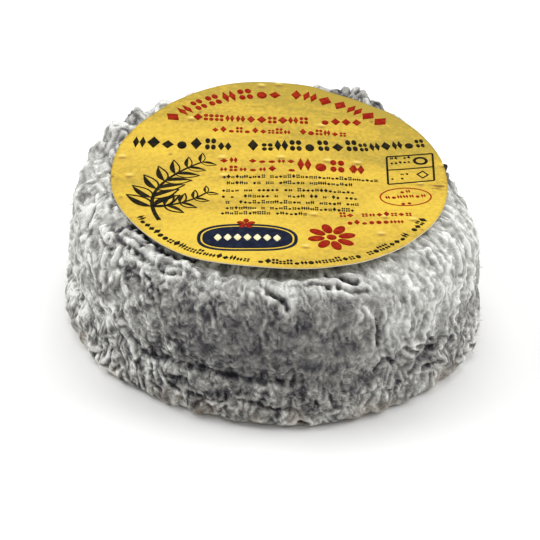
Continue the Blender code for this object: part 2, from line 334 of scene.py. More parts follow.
def outline(theta):
    """The outline's radius over that of a circle."""
    wander = sum(c * MM * np.cos(n * theta) + s * MM * np.sin(n * theta) for n, c, s in OUTLINE)
    return 1 + wander / RADIUS


def lean(x, y):
    """Rise of the top face, which isn't quite level."""
    return TOP_LEAN[0] * x + TOP_LEAN[1] * y


def label_underside(x, y):
    """Height of the label's underside: bent like a saddle, a little twisted, and gently cockled."""
    across = (x - LABEL_CENTRE[0]) / LABEL_RADIUS
    back = (y - LABEL_CENTRE[1]) / LABEL_RADIUS
    out = across**2 + back**2
    ends = LABEL_PROP * np.clip(-back, 0, 1) ** 2 + LABEL_CURL * np.clip(back, 0, 1) ** 2
    sides = LABEL_SAG * across**2 + LABEL_TWIST * across * back
    cockle = LABEL_COCKLE * np.sin(5.2 * across + 2.6 * back + 0.8) * np.cos(4.4 * back - 1.9 * across)
    turn = np.arctan2(back, across)
    edge = LABEL_EDGE_WAVE * out**3 * np.sin(7 * turn + 1.0)
    for face, reach, rise in LABEL_EDGE_BENDS:
        edge = edge + rise * out**2 * facing(turn, (face, reach))
    return HEIGHT + LABEL_LIFT + lean(x, y) + ends - sides + cockle + edge


def large_relief(theta, along, height):
    """The swells, folds and wrinkles that are on the part's solid too."""
    over_top = along - CORE_TOP - SHOULDER_ARC
    over_shoulder = along - CORE_TOP - SHOULDER_ARC / 2
    front = facing(theta, FRONT)

    swell = SWELL * crests(theta, along, SWELL_SPACING, 0.2, seed=3, waves=7)
    slump = SLUMP * facing(theta, BACK_RIGHT) * near(over_shoulder, 0, 0.8 * SHOULDER)
    level = WAIST_HEIGHT + WAIST_WANDER * np.sin(3 * theta + 0.6)
    deep = np.maximum(front, np.maximum(facing(theta, FRONT_RIGHT), facing(theta, FAR_LEFT)))
    share = SHALLOW_WAIST + (1 - SHALLOW_WAIST) * deep
    waist = WAIST_DEPTH * share * near(along, level, WAIST_WIDTH)
    crest = RIM_CREST * front * near(over_top, CREST_INSET, RIM_WIDTH)
    hollow = RIM_HOLLOW * front * near(over_top, HOLLOW_INSET, RIM_WIDTH)
    folds = FOLD_HEIGHT * crests(theta, along, FOLD_SPACING, 0.8, seed=11)
    folds = folds * facing(theta, LEFT) * near(over_shoulder, 0, SHOULDER)
    lobes = FOOT_LOBE * crests(theta, along, FOOT_LOBE_SPACING, 0.6, seed=5)
    lobes = lobes * near(height, FOOT_LOBE_HEIGHT, FOOT_LOBE_REACH)
    wrinkles = WRINKLE_HEIGHT * crests(theta, along, WRINKLE_SPACING, 0.45, seed=8)
    calm = 1 - CALM_SHARE * near(over_top, CALM_INSET, CALM_WIDTH)
    return (swell + crest + folds + lobes + wrinkles) * calm - waist - hollow - slump


turn_rates = math.tau * np.fft.rfftfreq(GRID_ROUND, GRID_STEP)
climb_rates = math.tau * np.fft.fftfreq(GRID_UP, GRID_STEP)
CLIMB, TURN = np.meshgrid(climb_rates, turn_rates, indexing="ij")


def from_waves(waves):
    """The field over the grid that those waves add up to."""
    return np.fft.irfft2(waves, s=(GRID_UP, GRID_ROUND))


def patches(spacing, seed, upright=1.0, spread=0.35):
    """Random highs and lows that far apart, mean 0 and deviation 1; upright draws them out up the side."""
    draw = np.random.default_rng(seed)
    size = np.hypot(TURN, CLIMB * upright) * spacing / math.tau
    share = np.exp(-((np.log(np.maximum(size, 1e-6)) / spread) ** 2))
    field = from_waves(np.fft.rfft2(draw.standard_normal((GRID_UP, GRID_ROUND))) * share)
    return field / field.std()


def crept_skin(spacing, seed, steps, upright):
    """Ropes that a skin buckles into as it creeps: waves of that spacing grow until others stop them.

    The ropes run up the side with upright over 0, and round it with upright under 0.
    """
    push, step = 0.6, 0.6
    size = np.hypot(TURN, CLIMB)
    favour = push - (1 - (size * spacing / math.tau) ** 2) ** 2
    favour -= abs(upright) * (CLIMB if upright > 0 else TURN) ** 2 / np.maximum(size**2, 1e-9)
    skin = 0.4 * patches(spacing, seed, spread=0.5)
    stiffness = 0.2 * patches(9 * MM, seed + 50)
    for _ in range(steps):
        held = np.fft.rfft2(stiffness * skin - skin**3)
        skin = from_waves((np.fft.rfft2(skin) + step * held) / (1 - step * favour))
    return skin / skin.std()


def read_grid(field, round_at, up_at):
    """The field between its grid points, running on round both ways."""
    i, j = np.floor(round_at).astype(int), np.floor(up_at).astype(int)
    a, b = round_at - i, up_at - j
    i0, i1, j0, j1 = i % GRID_ROUND, (i + 1) % GRID_ROUND, j % GRID_UP, (j + 1) % GRID_UP
    low = field[j0, i0] * (1 - a) + field[j0, i1] * a
    high = field[j1, i0] * (1 - a) + field[j1, i1] * a
    return low * (1 - b) + high * b


def dragged(field, reach, spacing, seed):
    """The field pulled about by up to that reach, so that its lines wander."""
    up, around = np.mgrid[0:GRID_UP, 0:GRID_ROUND].astype(float)
    around += reach / GRID_STEP * patches(spacing, seed)
    up += reach / GRID_STEP * patches(spacing, seed + 1)
    return read_grid(field, around, up)


def net_walls(width, length, seed):
    """A net of uneven cells: 1 on the walls between them, falling to about 0 or less in their pits."""
    count = round(math.tau * RADIUS / width)
    rows = math.ceil(GRID_UP * GRID_STEP / length)
    draw = np.random.default_rng(seed)
    jitter = draw.uniform(-0.45, 0.45, (rows, count, 2))
    depth = draw.uniform(-0.5, 0.35, (rows, count))
    up, around = np.mgrid[0:GRID_UP, 0:GRID_ROUND]
    x = around / GRID_ROUND * count
    y = up * GRID_STEP / length
    nearest = np.full(x.shape, 9.0)
    second = np.full(x.shape, 9.0)
    floor_of = np.zeros(x.shape)
    for down in range(-1, 2):
        for side in range(-1, 2):
            cell_x = np.floor(x) + side
            cell_y = np.floor(y) + down
            cell = (cell_y.astype(int) % rows, cell_x.astype(int) % count)
            off = jitter[cell]
            stagger = 0.5 * (cell_y % 2)
            away = np.hypot(cell_x + 0.5 + stagger + off[..., 0] - x, cell_y + 0.5 + off[..., 1] - y)
            closer = away < nearest
            second = np.minimum(second, np.where(closer, nearest, away))
            floor_of = np.where(closer, depth[cell], floor_of)
            nearest = np.where(closer, away, nearest)
    wall = np.exp(-(((second - nearest) / 0.22) ** 2))
    return wall + (1 - wall) * floor_of


def from_line(round_at, up_at, points):
    """Distance in metres from a line through points of the tables."""
    away = np.full(round_at.shape, 1.0)
    girth = math.tau * RADIUS
    line = [(RADIUS * math.radians(turn), up * MM) for turn, up in points]
    for (x0, y0), (x1, y1) in zip(line, line[1:]):
        run = (x1 - x0, y1 - y0)
        x, y = (round_at - x0 + girth / 2) % girth - girth / 2, up_at - y0
        share = np.clip((x * run[0] + y * run[1]) / (run[0] ** 2 + run[1] ** 2), 0, 1)
        away = np.minimum(away, np.hypot(x - share * run[0], y - share * run[1]))
    return away


def smoothed(field, reach):
    """The field with what is smaller than about that reach evened out."""
    return from_waves(np.fft.rfft2(field) * np.exp(-((np.hypot(TURN, CLIMB) * reach) ** 2) / 2))


def worms(spacing, seed, steps, upright):
    """Ropes side by side, with narrow creases between: -0.55 in the creases, about 0.2 on their backs."""
    skin = crept_skin(2 * spacing, seed, steps, upright)
    return np.sqrt(np.hypot(np.minimum(np.abs(skin), 1.5), 0.12)) - 0.9


def fine_skin():
    """Over the grid: the relief's height, how pale the rind is with its bloom, ash and painted shade, how
    gritty the ash, and how crests widen.
    """
    up, around = np.mgrid[0:GRID_UP, 0:GRID_ROUND]
    theta, along = around / GRID_ROUND * math.tau, up * GRID_STEP
    net_share = facing(theta, NET_SIDE)
    drawn = facing(theta, DRAWN_SIDE)
    # Grit also deepens the painted shade in the creases, below
    grit = 1 + 0.3 * facing(theta, GRITTY_SIDE) - 0.2 * net_share + 0.35 * near(along, 6 * MM, 6 * MM)
    grit -= 0.25 * stretch_share(theta, along, CURL_SIDE, (18, 9))

    ropes = dragged(worms(ROPE_SPACING, 2, 14, 0.1), 0.5 * MM, 5 * MM, 7)
    uprights = dragged(worms(ROPE_SPACING, 15, 14, 0.35), 0.45 * MM, 4 * MM, 27)
    net = dragged(net_walls(NET_WIDTH, NET_LENGTH, 5), 0.45 * MM, 5 * MM, 21)
    netted = NET_HEIGHT * net + 0.6 * ROPE_HEIGHT * uprights
    plain_share = np.ones_like(theta)
    height = np.zeros_like(theta)
    for spacing, rise, upright, faces, place, seed in OTHER_ROPES:
        share = stretch_share(theta, along, faces, place)
        own = dragged(worms(spacing * MM, seed, 13, upright), 0.45 * MM, 5 * MM, seed + 200)
        height += rise * MM * share * own
        plain_share *= 1 - 0.85 * share
    height += plain_share * (ROPE_HEIGHT * (1 - 0.8 * net_share) * ropes + net_share * netted)
    height *= np.clip(0.85 + 0.35 * patches(8 * MM, 41), 0.2, 1.5) * (1 - 0.2 * drawn)

    curls = dragged(worms(CURL_SPACING, 9, 12, 0.0), 0.35 * MM, 3 * MM, 31)
    height += CURL_HEIGHT * np.clip(0.7 + 0.5 * patches(6 * MM, 43), 0.1, 1.6) * curls
    veins = near(dragged(crept_skin(2 * VEIN_SPACING, 61, 14, 0.0), 0.6 * MM, 4 * MM, 91), 0, 0.3)
    veined = np.clip(0.3 + 0.8 * patches(5 * MM, 95), 0, 1.4) * (1 - 0.5 * net_share) + 0.35 * drawn
    height += VEIN_HEIGHT * veined * veins
    for faces, place, share in SMOOTH:
        height *= 1 - share * stretch_share(theta, along, faces, place)

    broken = np.clip(0.8 + 0.4 * patches(2 * MM, 71), 0, 1.4)
    slit_soot_shade_and_ridge_bloom = np.zeros_like(theta)
    for width, depth, *points in SLITS:
        away = from_line(RADIUS * theta, along, points)
        cut = near(away, 0, width * MM) * broken
        lip = near(away, 1.9 * width * MM, width * MM)
        height += depth * MM * (0.15 * lip - cut)
        # Soot and painted shade in the slit
        slit_soot_shade_and_ridge_bloom -= SLIT_SOOT_AND_SHADE * min(depth, 1) * cut
    for width, rise, *points in RIDGES:
        back = near(from_line(RADIUS * theta, along, points), 0, width * MM) * broken
        height += rise * MM * back
        slit_soot_shade_and_ridge_bloom += RIDGE_BLOOM * back
    for width, depth, *points in DIPS:
        height -= depth * MM * near(from_line(RADIUS * theta, along, points), 0, width * MM)

    # Painted shade in the creases and painted light on the crests, over the ash and bloom they hold
    pale = slit_soot_shade_and_ridge_bloom + grit * CAVITY_SHADE * np.tanh((height - smoothed(height, CAVITY_REACH)) / CAVITY_DEPTH)
    pale += grit * (0.06 * patches(7 * MM, 61, upright=1.3) + 0.045 * patches(3 * MM, 62, upright=1.6))
    blotched = np.clip(1 + 0.15 * patches(4 * MM, 63), 0.5, 1.5)
    # Stretches of bloom and ash, some of them painted shade
    for face, reach, middle, width, shade in BLOOM_ASH_AND_PAINTED_SHADE:
        pale += shade * stretch_share(theta, along, (face, reach), (middle, width)) * blotched
    return height, BLOOM_MEAN + pale, grit, PINCH * (plain_share - 0.8 * net_share)


def linked(name, data):
    """A new object of that mesh, light or camera, in the scene."""
    thing = bpy.data.objects.new(name, data)
    bpy.context.scene.collection.objects.link(thing)
    return thing


def plain_mesh(guide):
    """The mesh that a guide object's modifiers make of it; the guide is removed."""
    mesh = bpy.data.meshes.new_from_object(guide.evaluated_get(bpy.context.evaluated_depsgraph_get()))
    bpy.data.objects.remove(guide)
    return mesh


def turned(name, profile, steps):
    """An object turned about Z from a profile that runs from the top down its outer side."""
    line = bpy.data.meshes.new(name + "_profile")
    line.from_pydata([(r, 0, z) for r, z in profile], [(i, i + 1) for i in range(len(profile) - 1)], [])
    guide = linked(name + "_profile", line)
    screw = guide.modifiers.new("Turn", "SCREW")
    screw.steps = screw.render_steps = steps
    screw.use_merge_vertices = True
    screw.merge_threshold = MERGE
    return linked(name, plain_mesh(guide))


def points_of(mesh):
    """The places of a mesh's points, one to a row."""
    flat = np.empty(len(mesh.vertices) * 3, np.float32)
    mesh.vertices.foreach_get("co", flat)
    return flat.reshape(-1, 3).astype(float)


def set_points(mesh, points):
    """Moves a mesh's points there, and shades it smoothly."""
    mesh.vertices.foreach_set("co", points.astype(np.float32).ravel())
    mesh.update()
    mesh.shade_smooth()


def add_reading(mesh, name, values):
    """Keeps a number at each point of the mesh, for its material or its node tree to read."""
    mesh.attributes.new(name, "FLOAT", "POINT").data.foreach_set("value", values.astype(np.float32))


def rind_profile():
    """Half of the plain outline, from the axis over the top and down the outside, in fine steps."""
    fine_edge = CORE_RADIUS - 4 * MM
    points = [(fine_edge * share, HEIGHT) for share in (0, 0.5, 0.8, 0.94)]
    points += [(r, HEIGHT) for r in np.arange(fine_edge, CORE_RADIUS, GRID_STEP)]
    arc_rows = round(SHOULDER_ARC / GRID_STEP)
    for row in range(arc_rows + 1):
        turn = math.pi / 2 * (1 - row / arc_rows)
        points.append((CORE_RADIUS + SHOULDER * math.cos(turn), CORE_TOP + SHOULDER * math.sin(turn)))
    side_rows = round((CORE_TOP - FOOT_ROUND) / GRID_STEP)
    for row in range(1, side_rows + 1):
        points.append((RADIUS, CORE_TOP - (CORE_TOP - FOOT_ROUND) * row / side_rows))
    foot_rows = round(FOOT_ROUND * math.pi / 2 / GRID_STEP)
    for row in range(1, foot_rows):
        turn = math.pi / 2 * row / foot_rows
        points.append((RADIUS - FOOT_ROUND * (1 - math.cos(turn)), FOOT_ROUND * (1 - math.sin(turn))))
    points += [(STANDING_RADIUS + 2 * MM, 2 * LOW_CLEARANCE), (STANDING_RADIUS, 0), (0, 0)]
    return points


def wrinkle_rind(mesh):
    """Gives the turned cheese its outline and its relief, and presses it down under the label."""
    x, y, z = points_of(mesh).T
    theta, rho = np.arctan2(y, x), np.hypot(x, y)
    core_rho = np.minimum(rho, CORE_RADIUS)
    core_z = np.clip(z, FOOT_ROUND, CORE_TOP)
    out, up = rho - core_rho, z - core_z
    length = np.maximum(np.hypot(out, up), MERGE)
    out, up = out / length, up / length
    turn = np.arctan2(np.maximum(z - CORE_TOP, 0), np.maximum(rho - CORE_RADIUS, 0))
    along = np.minimum(z, CORE_TOP) + SHOULDER * turn + (CORE_RADIUS - core_rho) * (z > CORE_TOP)

    height, pale, grit, pinch = fine_skin()
    round_at, up_at = theta % math.tau / math.tau * GRID_ROUND, along / GRID_STEP
    around = pinch * ROPE_HEIGHT * (np.roll(height, -1, 1) - np.roll(height, 1, 1)) / (2 * GRID_STEP)
    upward = pinch * ROPE_HEIGHT * (np.roll(height, -1, 0) - np.roll(height, 1, 0)) / (2 * GRID_STEP)
    slip_round = -read_grid(around, round_at, up_at)
    slip_up = -read_grid(upward, round_at, up_at)

    off_flat = np.clip((rho - STANDING_RADIUS) / FOOT_FADE + (z > CORE_TOP), 0, 1)
    calm = 1 - CALM_SHARE * near(along - CORE_TOP - SHOULDER_ARC, CALM_INSET, CALM_WIDTH)
    settled = np.clip(0.4 + z / SETTLED_HEIGHT, 0, 1)
    raised = (large_relief(theta, along, z) + read_grid(height, round_at, up_at) * calm) * off_flat * settled
    spread = FOOT_SPREAD * np.clip(1 - z / CORE_TOP, 0, 1) ** 1.5 * (rho > STANDING_RADIUS + MM)
    rho = (rho + raised * out + spread - up * slip_up * off_flat) * outline(theta)
    theta = theta + slip_round * off_flat / np.maximum(rho, 20 * MM)
    x, y = rho * np.cos(theta), rho * np.sin(theta)
    lifted = z + raised * up + out * slip_up * off_flat + lean(x, y) * z / HEIGHT
    z = np.where(z > MERGE, np.maximum(lifted, LOW_CLEARANCE), 0)
    under = np.hypot(x - LABEL_CENTRE[0], y - LABEL_CENTRE[1]) < LABEL_RADIUS + PRESSED_MARGIN
    z = np.where(under & (z > CORE_TOP), np.minimum(z, label_underside(x, y) - PRESSED_GAP), z)
    set_points(mesh, np.stack([x + AXIS[0], y + AXIS[1], z], axis=-1))
    add_reading(mesh, "pale", read_grid(pale, round_at, up_at))
    add_reading(mesh, "grit", read_grid(grit, round_at, up_at))


def linear(hex_colour):
    """An sRGB hex colour as the linear colour that Blender takes."""
    parts = [int(hex_colour[i : i + 2], 16) / 255 for i in (1, 3, 5)]
    return (*[c / 12.92 if c <= 0.04045 else ((c + 0.055) / 1.055) ** 2.4 for c in parts], 1)


def add_node(tree, kind, settings=None, **inputs):
    """Adds a node, sets its properties, and sets or links its inputs: by name, _ for a space, or by i0, i1.

    An input that is given a node takes that node's first output.
    """
    node = tree.nodes.new(kind)
    for name, value in (settings or {}).items():
        setattr(node, name, value)
    for name, value in inputs.items():
        key = int(name[1:]) if name[0] == "i" and name[1:].isdigit() else name.replace("_", " ")
        if isinstance(value, bpy.types.Node):
            value = value.outputs[0]
        if isinstance(value, bpy.types.NodeSocket):
            tree.links.new(value, node.inputs[key])
        else:
            node.inputs[key].default_value = value
    return node


def colour_stops(node, stops):
    """Sets a colour ramp's (place, hex colour) stops."""
    while len(node.color_ramp.elements) < len(stops):
        node.color_ramp.elements.new(0.5)
    for element, (place, colour) in zip(node.color_ramp.elements, stops):
        element.position = place
        element.color = linear(colour)
    return node.outputs["Color"]


def new_finish(name, roughness, specular=0.5):
    """A material with that roughness and specular level, its node tree, and its shader."""
    finish = bpy.data.materials.new(name)
    finish.use_nodes = True
    shader = finish.node_tree.nodes["Principled BSDF"]
    shader.inputs["Roughness"].default_value = roughness
    shader.inputs["Specular IOR Level"].default_value = specular
    return finish, finish.node_tree, shader


def ash_mould_rind():
    """Grey-white mould over black ash: pale and downy on the crests, sooty and with painted shade in the
    creases, fully matt.
    """
    finish, tree, shader = new_finish("ash_mould_rind", 0.95, 0.2)
    place = add_node(tree, "ShaderNodeTexCoord").outputs["Object"]
    pale = add_node(tree, "ShaderNodeAttribute", {"attribute_name": "pale"}).outputs["Fac"]
    grit = add_node(tree, "ShaderNodeAttribute", {"attribute_name": "grit"}).outputs["Fac"]

    # Specks of bloom about 0.9 mm apart, and mottling about 3 mm apart
    speck = add_node(tree, "ShaderNodeTexNoise", Vector=place, Scale=1.1 / MM, Detail=3.0)
    mottle = add_node(tree, "ShaderNodeTexNoise", Vector=place, Scale=0.33 / MM, Detail=4.0)
    uneven = add_node(tree, "ShaderNodeMath", {"operation": "MULTIPLY_ADD"}, i0=mottle, i1=0.35, i2=-0.355)
    uneven = add_node(tree, "ShaderNodeMath", {"operation": "MULTIPLY_ADD"}, i0=speck, i1=0.36, i2=uneven)

    # Wisps of down, thin bright lines that wander over ropes and creases alike, about 2 mm apart
    wander = add_node(tree, "ShaderNodeTexNoise", Vector=place, Scale=0.48 / MM, Detail=1.5, Distortion=1.0)
    off = add_node(tree, "ShaderNodeMath", {"operation": "SUBTRACT"}, i0=wander, i1=0.5)
    off = add_node(tree, "ShaderNodeMath", {"operation": "ABSOLUTE"}, i0=off)
    wisp = add_node(tree, "ShaderNodeMapRange", Value=off, From_Max=0.05, To_Min=1.0, To_Max=0.0)
    uneven = add_node(tree, "ShaderNodeMath", {"operation": "MULTIPLY_ADD"}, i0=wisp, i1=0.17, i2=uneven)
    pale = add_node(tree, "ShaderNodeMath", {"operation": "MULTIPLY_ADD"}, i0=uneven, i1=grit, i2=pale)
    stops = [(0.0, "#1e1d22"), (0.25, "#4f4e51"), (0.5, "#868581"), (0.75, "#bbbbb6"), (1.0, "#eeeeea")]
    colour = colour_stops(add_node(tree, "ShaderNodeValToRGB", Fac=pale), stops)

    # Round the foot a beige tint, strongest at the floor and in patches about 6 mm apart: partly the paste
    # showing where the ash has rubbed off, partly a painted warm reflection of light from below
    up = add_node(tree, "ShaderNodeSeparateXYZ", Vector=place).outputs["Z"]
    low = add_node(tree, "ShaderNodeMapRange", Value=up, From_Max=7.5 * MM, To_Min=0.42, To_Max=-0.1)
    rubbed = add_node(tree, "ShaderNodeTexNoise", Vector=place, Scale=0.17 / MM, Detail=3.0)
    rubbed = add_node(tree, "ShaderNodeMapRange", Value=rubbed, From_Min=0.42, From_Max=0.66)
    share = add_node(tree, "ShaderNodeMath", {"operation": "MULTIPLY", "use_clamp": True}, i0=low, i1=rubbed)
    paste_and_warm_bounce = linear("#a58f78")
    stained_and_bounce_lit = add_node(tree, "ShaderNodeMix", {"data_type": "RGBA"}, Factor=share, i6=colour, i7=paste_and_warm_bounce)
    tree.links.new(stained_and_bounce_lit.outputs[2], shader.inputs["Base Color"])

    # The nap of the mould, 0.7 mm apart, because the real one is too fine to show
    nap = add_node(tree, "ShaderNodeTexNoise", Vector=place, Scale=1.5 / MM, Detail=4.0)
    nap = add_node(tree, "ShaderNodeMath", {"operation": "MULTIPLY_ADD"}, i0=wisp, i1=0.8, i2=nap)
    nap = add_node(tree, "ShaderNodeMath", {"operation": "MULTIPLY"}, i0=nap, i1=grit)
    bump = add_node(tree, "ShaderNodeBump", Height=nap, Strength=0.6, Distance=0.15 * MM)
    tree.links.new(bump.outputs["Normal"], shader.inputs["Normal"])
    return finish


cheese = turned("cheese_rind", rind_profile(), GRID_ROUND)
wrinkle_rind(cheese.data)
cheese.data.materials.append(ash_mould_rind())
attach(cheese, "root")
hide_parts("cheese")

# The label
# A die-cut disc of thin yellow-gold satin paper, laid on the rind at packing. It bridges the wrinkles, so it
# is gently cockled and dented where crests press into it, and its white core shows at the cut edge.

LABEL_THICKNESS = 0.16 * MM
SCRATCHED = (AXIS[0] + LABEL_CENTRE[0] + 31.6 * MM, AXIS[1] + LABEL_CENTRE[1] - 0.5 * MM, 0)


def lay_as_label(mesh, over=0.0):
    """Lays a flat mesh, drawn round the label's centre, at the label's underside, or that far over it."""
    x, y, _ = points_of(mesh).T
    x, y = x + LABEL_CENTRE[0], y + LABEL_CENTRE[1]
    set_points(mesh, np.stack([x + AXIS[0], y + AXIS[1], label_underside(x, y) + over], axis=-1))


def gold_paper():
    """Satin paper printed all over in yellow gold: even in colour, with a soft sheen and small dents."""
    finish, tree, shader = new_finish("gold_paper", 0.38, 0.35)
    place = add_node(tree, "ShaderNodeTexCoord").outputs["Object"]

    # Long clouds in the gold, about 13 by 45 mm, partly uneven gold and partly painted reflections, with
    # painted shade that darkens it towards the back, and a grain of fibres 0.8 mm apart, because the real one
    # is too fine to show
    slant = {"Rotation": (0, 0, math.radians(-32)), "Scale": (22, 75, 22)}
    clouds = add_node(tree, "ShaderNodeMapping", Vector=place, **slant)
    gold_tone_and_painted_reflection = add_node(tree, "ShaderNodeTexNoise", Vector=clouds, Scale=1.0, Detail=5.0, Roughness=0.65)
    gold_tone_and_painted_reflection = add_node(
        tree, "ShaderNodeMapRange", {"clamp": False}, Value=gold_tone_and_painted_reflection,
        From_Min=0.3, From_Max=0.7, To_Min=0.2, To_Max=0.8,
    )
    # Painted shade: the gold is darker towards the back
    back = add_node(tree, "ShaderNodeSeparateXYZ", Vector=place).outputs["Y"]
    painted_back_shade = add_node(
        tree, "ShaderNodeMapRange", Value=back, From_Min=-5 * MM, From_Max=30 * MM, To_Min=0.1, To_Max=-0.27
    )
    gold_tone_and_painted_reflection = add_node(tree, "ShaderNodeMath", {"operation": "ADD"}, i0=gold_tone_and_painted_reflection, i1=painted_back_shade)
    grain = add_node(tree, "ShaderNodeTexNoise", Vector=place, Scale=1.3 / MM, Detail=3.0)
    grain = add_node(tree, "ShaderNodeMath", {"operation": "SUBTRACT"}, i0=grain, i1=0.5)
    gold_tone_and_painted_reflection = add_node(tree, "ShaderNodeMath", {"operation": "MULTIPLY_ADD"}, i0=grain, i1=0.7, i2=gold_tone_and_painted_reflection)
    stops = [(0.25, "#a68e2c"), (0.5, "#c8a632"), (0.75, "#dab938")]
    colour = colour_stops(add_node(tree, "ShaderNodeValToRGB", Fac=gold_tone_and_painted_reflection), stops)

    # Small dimples in some cells of 4 mm, where the paper is pressed on grit, brown at their bottom
    cells = add_node(tree, "ShaderNodeTexVoronoi", Vector=place, Scale=0.26 / MM).outputs
    few = add_node(tree, "ShaderNodeMath", {"operation": "GREATER_THAN"}, i0=cells["Color"], i1=0.74)
    away = add_node(tree, "ShaderNodeMapRange", Value=cells["Distance"], From_Max=0.17, To_Min=1, To_Max=0)
    dimple = add_node(tree, "ShaderNodeMath", {"operation": "MULTIPLY"}, i0=few, i1=away)
    wear_and_painted_light = [(dimple, "#8a6420")]

    # Blisters over knobs of the rind in some cells of 6 mm, with a painted highlight behind and a painted
    # brown shade in front
    knobs = add_node(
        tree, "ShaderNodeTexVoronoi", {"voronoi_dimensions": "2D"}, Vector=place, Scale=0.16 / MM
    ).outputs
    raised = add_node(tree, "ShaderNodeMath", {"operation": "LESS_THAN"}, i0=knobs["Color"], i1=0.3)
    dome = add_node(
        tree, "ShaderNodeMapRange", {"interpolation_type": "SMOOTHSTEP"}, Value=knobs["Distance"],
        From_Max=0.22, To_Min=1.0, To_Max=0.0,
    )
    blister = add_node(tree, "ShaderNodeMath", {"operation": "MULTIPLY"}, i0=raised, i1=dome)
    off = add_node(tree, "ShaderNodeVectorMath", {"operation": "SUBTRACT"}, i0=place, i1=knobs["Position"])
    behind = add_node(tree, "ShaderNodeSeparateXYZ", Vector=off).outputs["Y"]
    # A painted highlight on the back of each blister and a painted brown shade on its front
    for reach, wear_and_light_colour in ((0.4 * MM, "#f2d878"), (-0.4 * MM, "#754c12")):
        side = add_node(tree, "ShaderNodeMapRange", Value=behind, From_Min=0.1 * reach, From_Max=reach)
        side = add_node(tree, "ShaderNodeMath", {"operation": "MULTIPLY"}, i0=blister, i1=side)
        wear_and_painted_light.append((side, wear_and_light_colour))

    # Brown scratches, about 0.7 by 3 mm, by the right-hand edge, where a fingernail has rubbed the gold off
    flat = add_node(tree, "ShaderNodeVectorMath", {"operation": "MULTIPLY"}, i0=place, i1=(1, 1, 0))
    apart = add_node(tree, "ShaderNodeVectorMath", {"operation": "DISTANCE"}, i0=flat, i1=SCRATCHED)
    apart = apart.outputs["Value"]
    close = add_node(tree, "ShaderNodeMapRange", Value=apart, From_Max=4 * MM, To_Min=0.45, To_Max=0.0)
    drawn = add_node(tree, "ShaderNodeMapping", Vector=place, Rotation=(0, 0, 0.25), Scale=(350, 1500, 350))
    scratch = add_node(tree, "ShaderNodeTexNoise", Vector=drawn, Scale=1.0, Detail=2.0)
    scratch = add_node(tree, "ShaderNodeMath", {"operation": "ADD"}, i0=scratch, i1=close)
    scratch = add_node(tree, "ShaderNodeMapRange", Value=scratch, From_Min=0.82, From_Max=0.95)
    wear_and_painted_light.append((scratch, "#7d5a1e"))
    # Mixes in the dimples, the scratches, and the blisters' painted highlight and shade
    for share, wear_and_light_colour in wear_and_painted_light:
        worn_and_lit = add_node(
            tree, "ShaderNodeMix", {"data_type": "RGBA"}, Factor=share, i6=colour, i7=linear(wear_and_light_colour)
        )
        colour = worn_and_lit.outputs[2]
    tree.links.new(colour, shader.inputs["Base Color"])

    # Soft dents about 3 mm apart, with the dimples and the blisters
    dents = add_node(tree, "ShaderNodeTexNoise", Vector=place, Scale=0.3 / MM, Detail=2.0)
    dents = add_node(tree, "ShaderNodeMath", {"operation": "MULTIPLY_ADD"}, i0=dimple, i1=-1.5, i2=dents)
    dents = add_node(tree, "ShaderNodeMath", {"operation": "MULTIPLY_ADD"}, i0=blister, i1=2.2, i2=dents)
    bump = add_node(tree, "ShaderNodeBump", Height=dents, Strength=0.3, Distance=0.2 * MM)
    tree.links.new(bump.outputs["Normal"], shader.inputs["Normal"])
    return finish


def cut_paper():
    """The bare white stock of the paper, at its cut edge and on its back."""
    finish, _, shader = new_finish("cut_paper", 0.8)
    shader.inputs["Base Color"].default_value = linear("#f0e9cf")
    return finish


label = turned("label_paper", [(LABEL_RADIUS * ring / 60, 0) for ring in range(61)], 360)
lay_as_label(label.data)
label.data.materials.append(gold_paper())
label.data.materials.append(cut_paper())
paper = label.modifiers.new("Paper", "SOLIDIFY")
paper.thickness = LABEL_THICKNESS
paper.offset = 1
paper.material_offset = paper.material_offset_rim = 1
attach(label, "root")
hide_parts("label")

# The type
# Rows of small ornaments in red and black ink, where a pack has its wording, pressed on the gold before the
# disc is cut. An ink film is a few thousandths of a millimetre thick, and is drawn thicker so that it shows.

INK_SINK, INK_THICKNESS = 0.02 * MM, 0.05 * MM


def arc(radius, start, end):
    """Points on an arc round the label's centre, in millimetres, from one angle in degrees to another."""
    turns = np.radians(np.linspace(start, end, max(2, round(abs(end - start)))))
    return [(radius * math.cos(turn), radius * math.sin(turn)) for turn in turns]


# (mark height, pitch, share of marks kept, share of tall marks, line that they stand on), in millimetres
RED_ROWS = (
    (3.6, 3.0, 1.0, 1.0, arc(27.4, 138, 98)),
    (3.4, 2.6, 1.0, 0.5, arc(27.4, 93, 84)),
    (3.6, 3.0, 1.0, 1.0, arc(27.4, 79, 47)),
    (2.5, 2.1, 0.85, 1.0, ((-16.6, 18.4), (0, 18.6), (15.2, 19.4))),
    (2.2, 1.5, 0.9, 0.35, ((-13.0, 14.6), (12.4, 15.2))),
    (2.0, 1.7, 0.9, 0.5, ((-11.0, 4.1), (2.2, 4.4))),
    (2.0, 1.7, 0.9, 0.5, ((-11.0, 1.2), (2.4, 1.5))),
    (4.5, 3.2, 1.0, 1.0, ((4.9, 2.0), (11.4, 2.2))),
    (4.5, 3.2, 1.0, 0.0, ((15.2, 2.3), (15.4, 2.3))),
    (1.3, 1.1, 1.0, 1.0, ((21.4, -6.1), (28.4, -4.7))),
    (1.2, 1.0, 1.0, 1.0, ((24.2, -3.7), (25.4, -3.4))),
    (1.2, 1.0, 1.0, 1.0, ((24.4, -7.9), (25.6, -7.6))),
    (1.8, 1.4, 0.88, 0.5, ((12.6, -13.2), (25.4, -11.8))),
    (1.8, 1.4, 0.75, 0.6, ((14.0, -15.7), (23.8, -14.6))),
)
TITLE_LINE = ((-28.0, 8.5), (-19, 8.3), (-10, 8.3), (-2, 8.6), (6, 9.1), (14.4, 10.2))

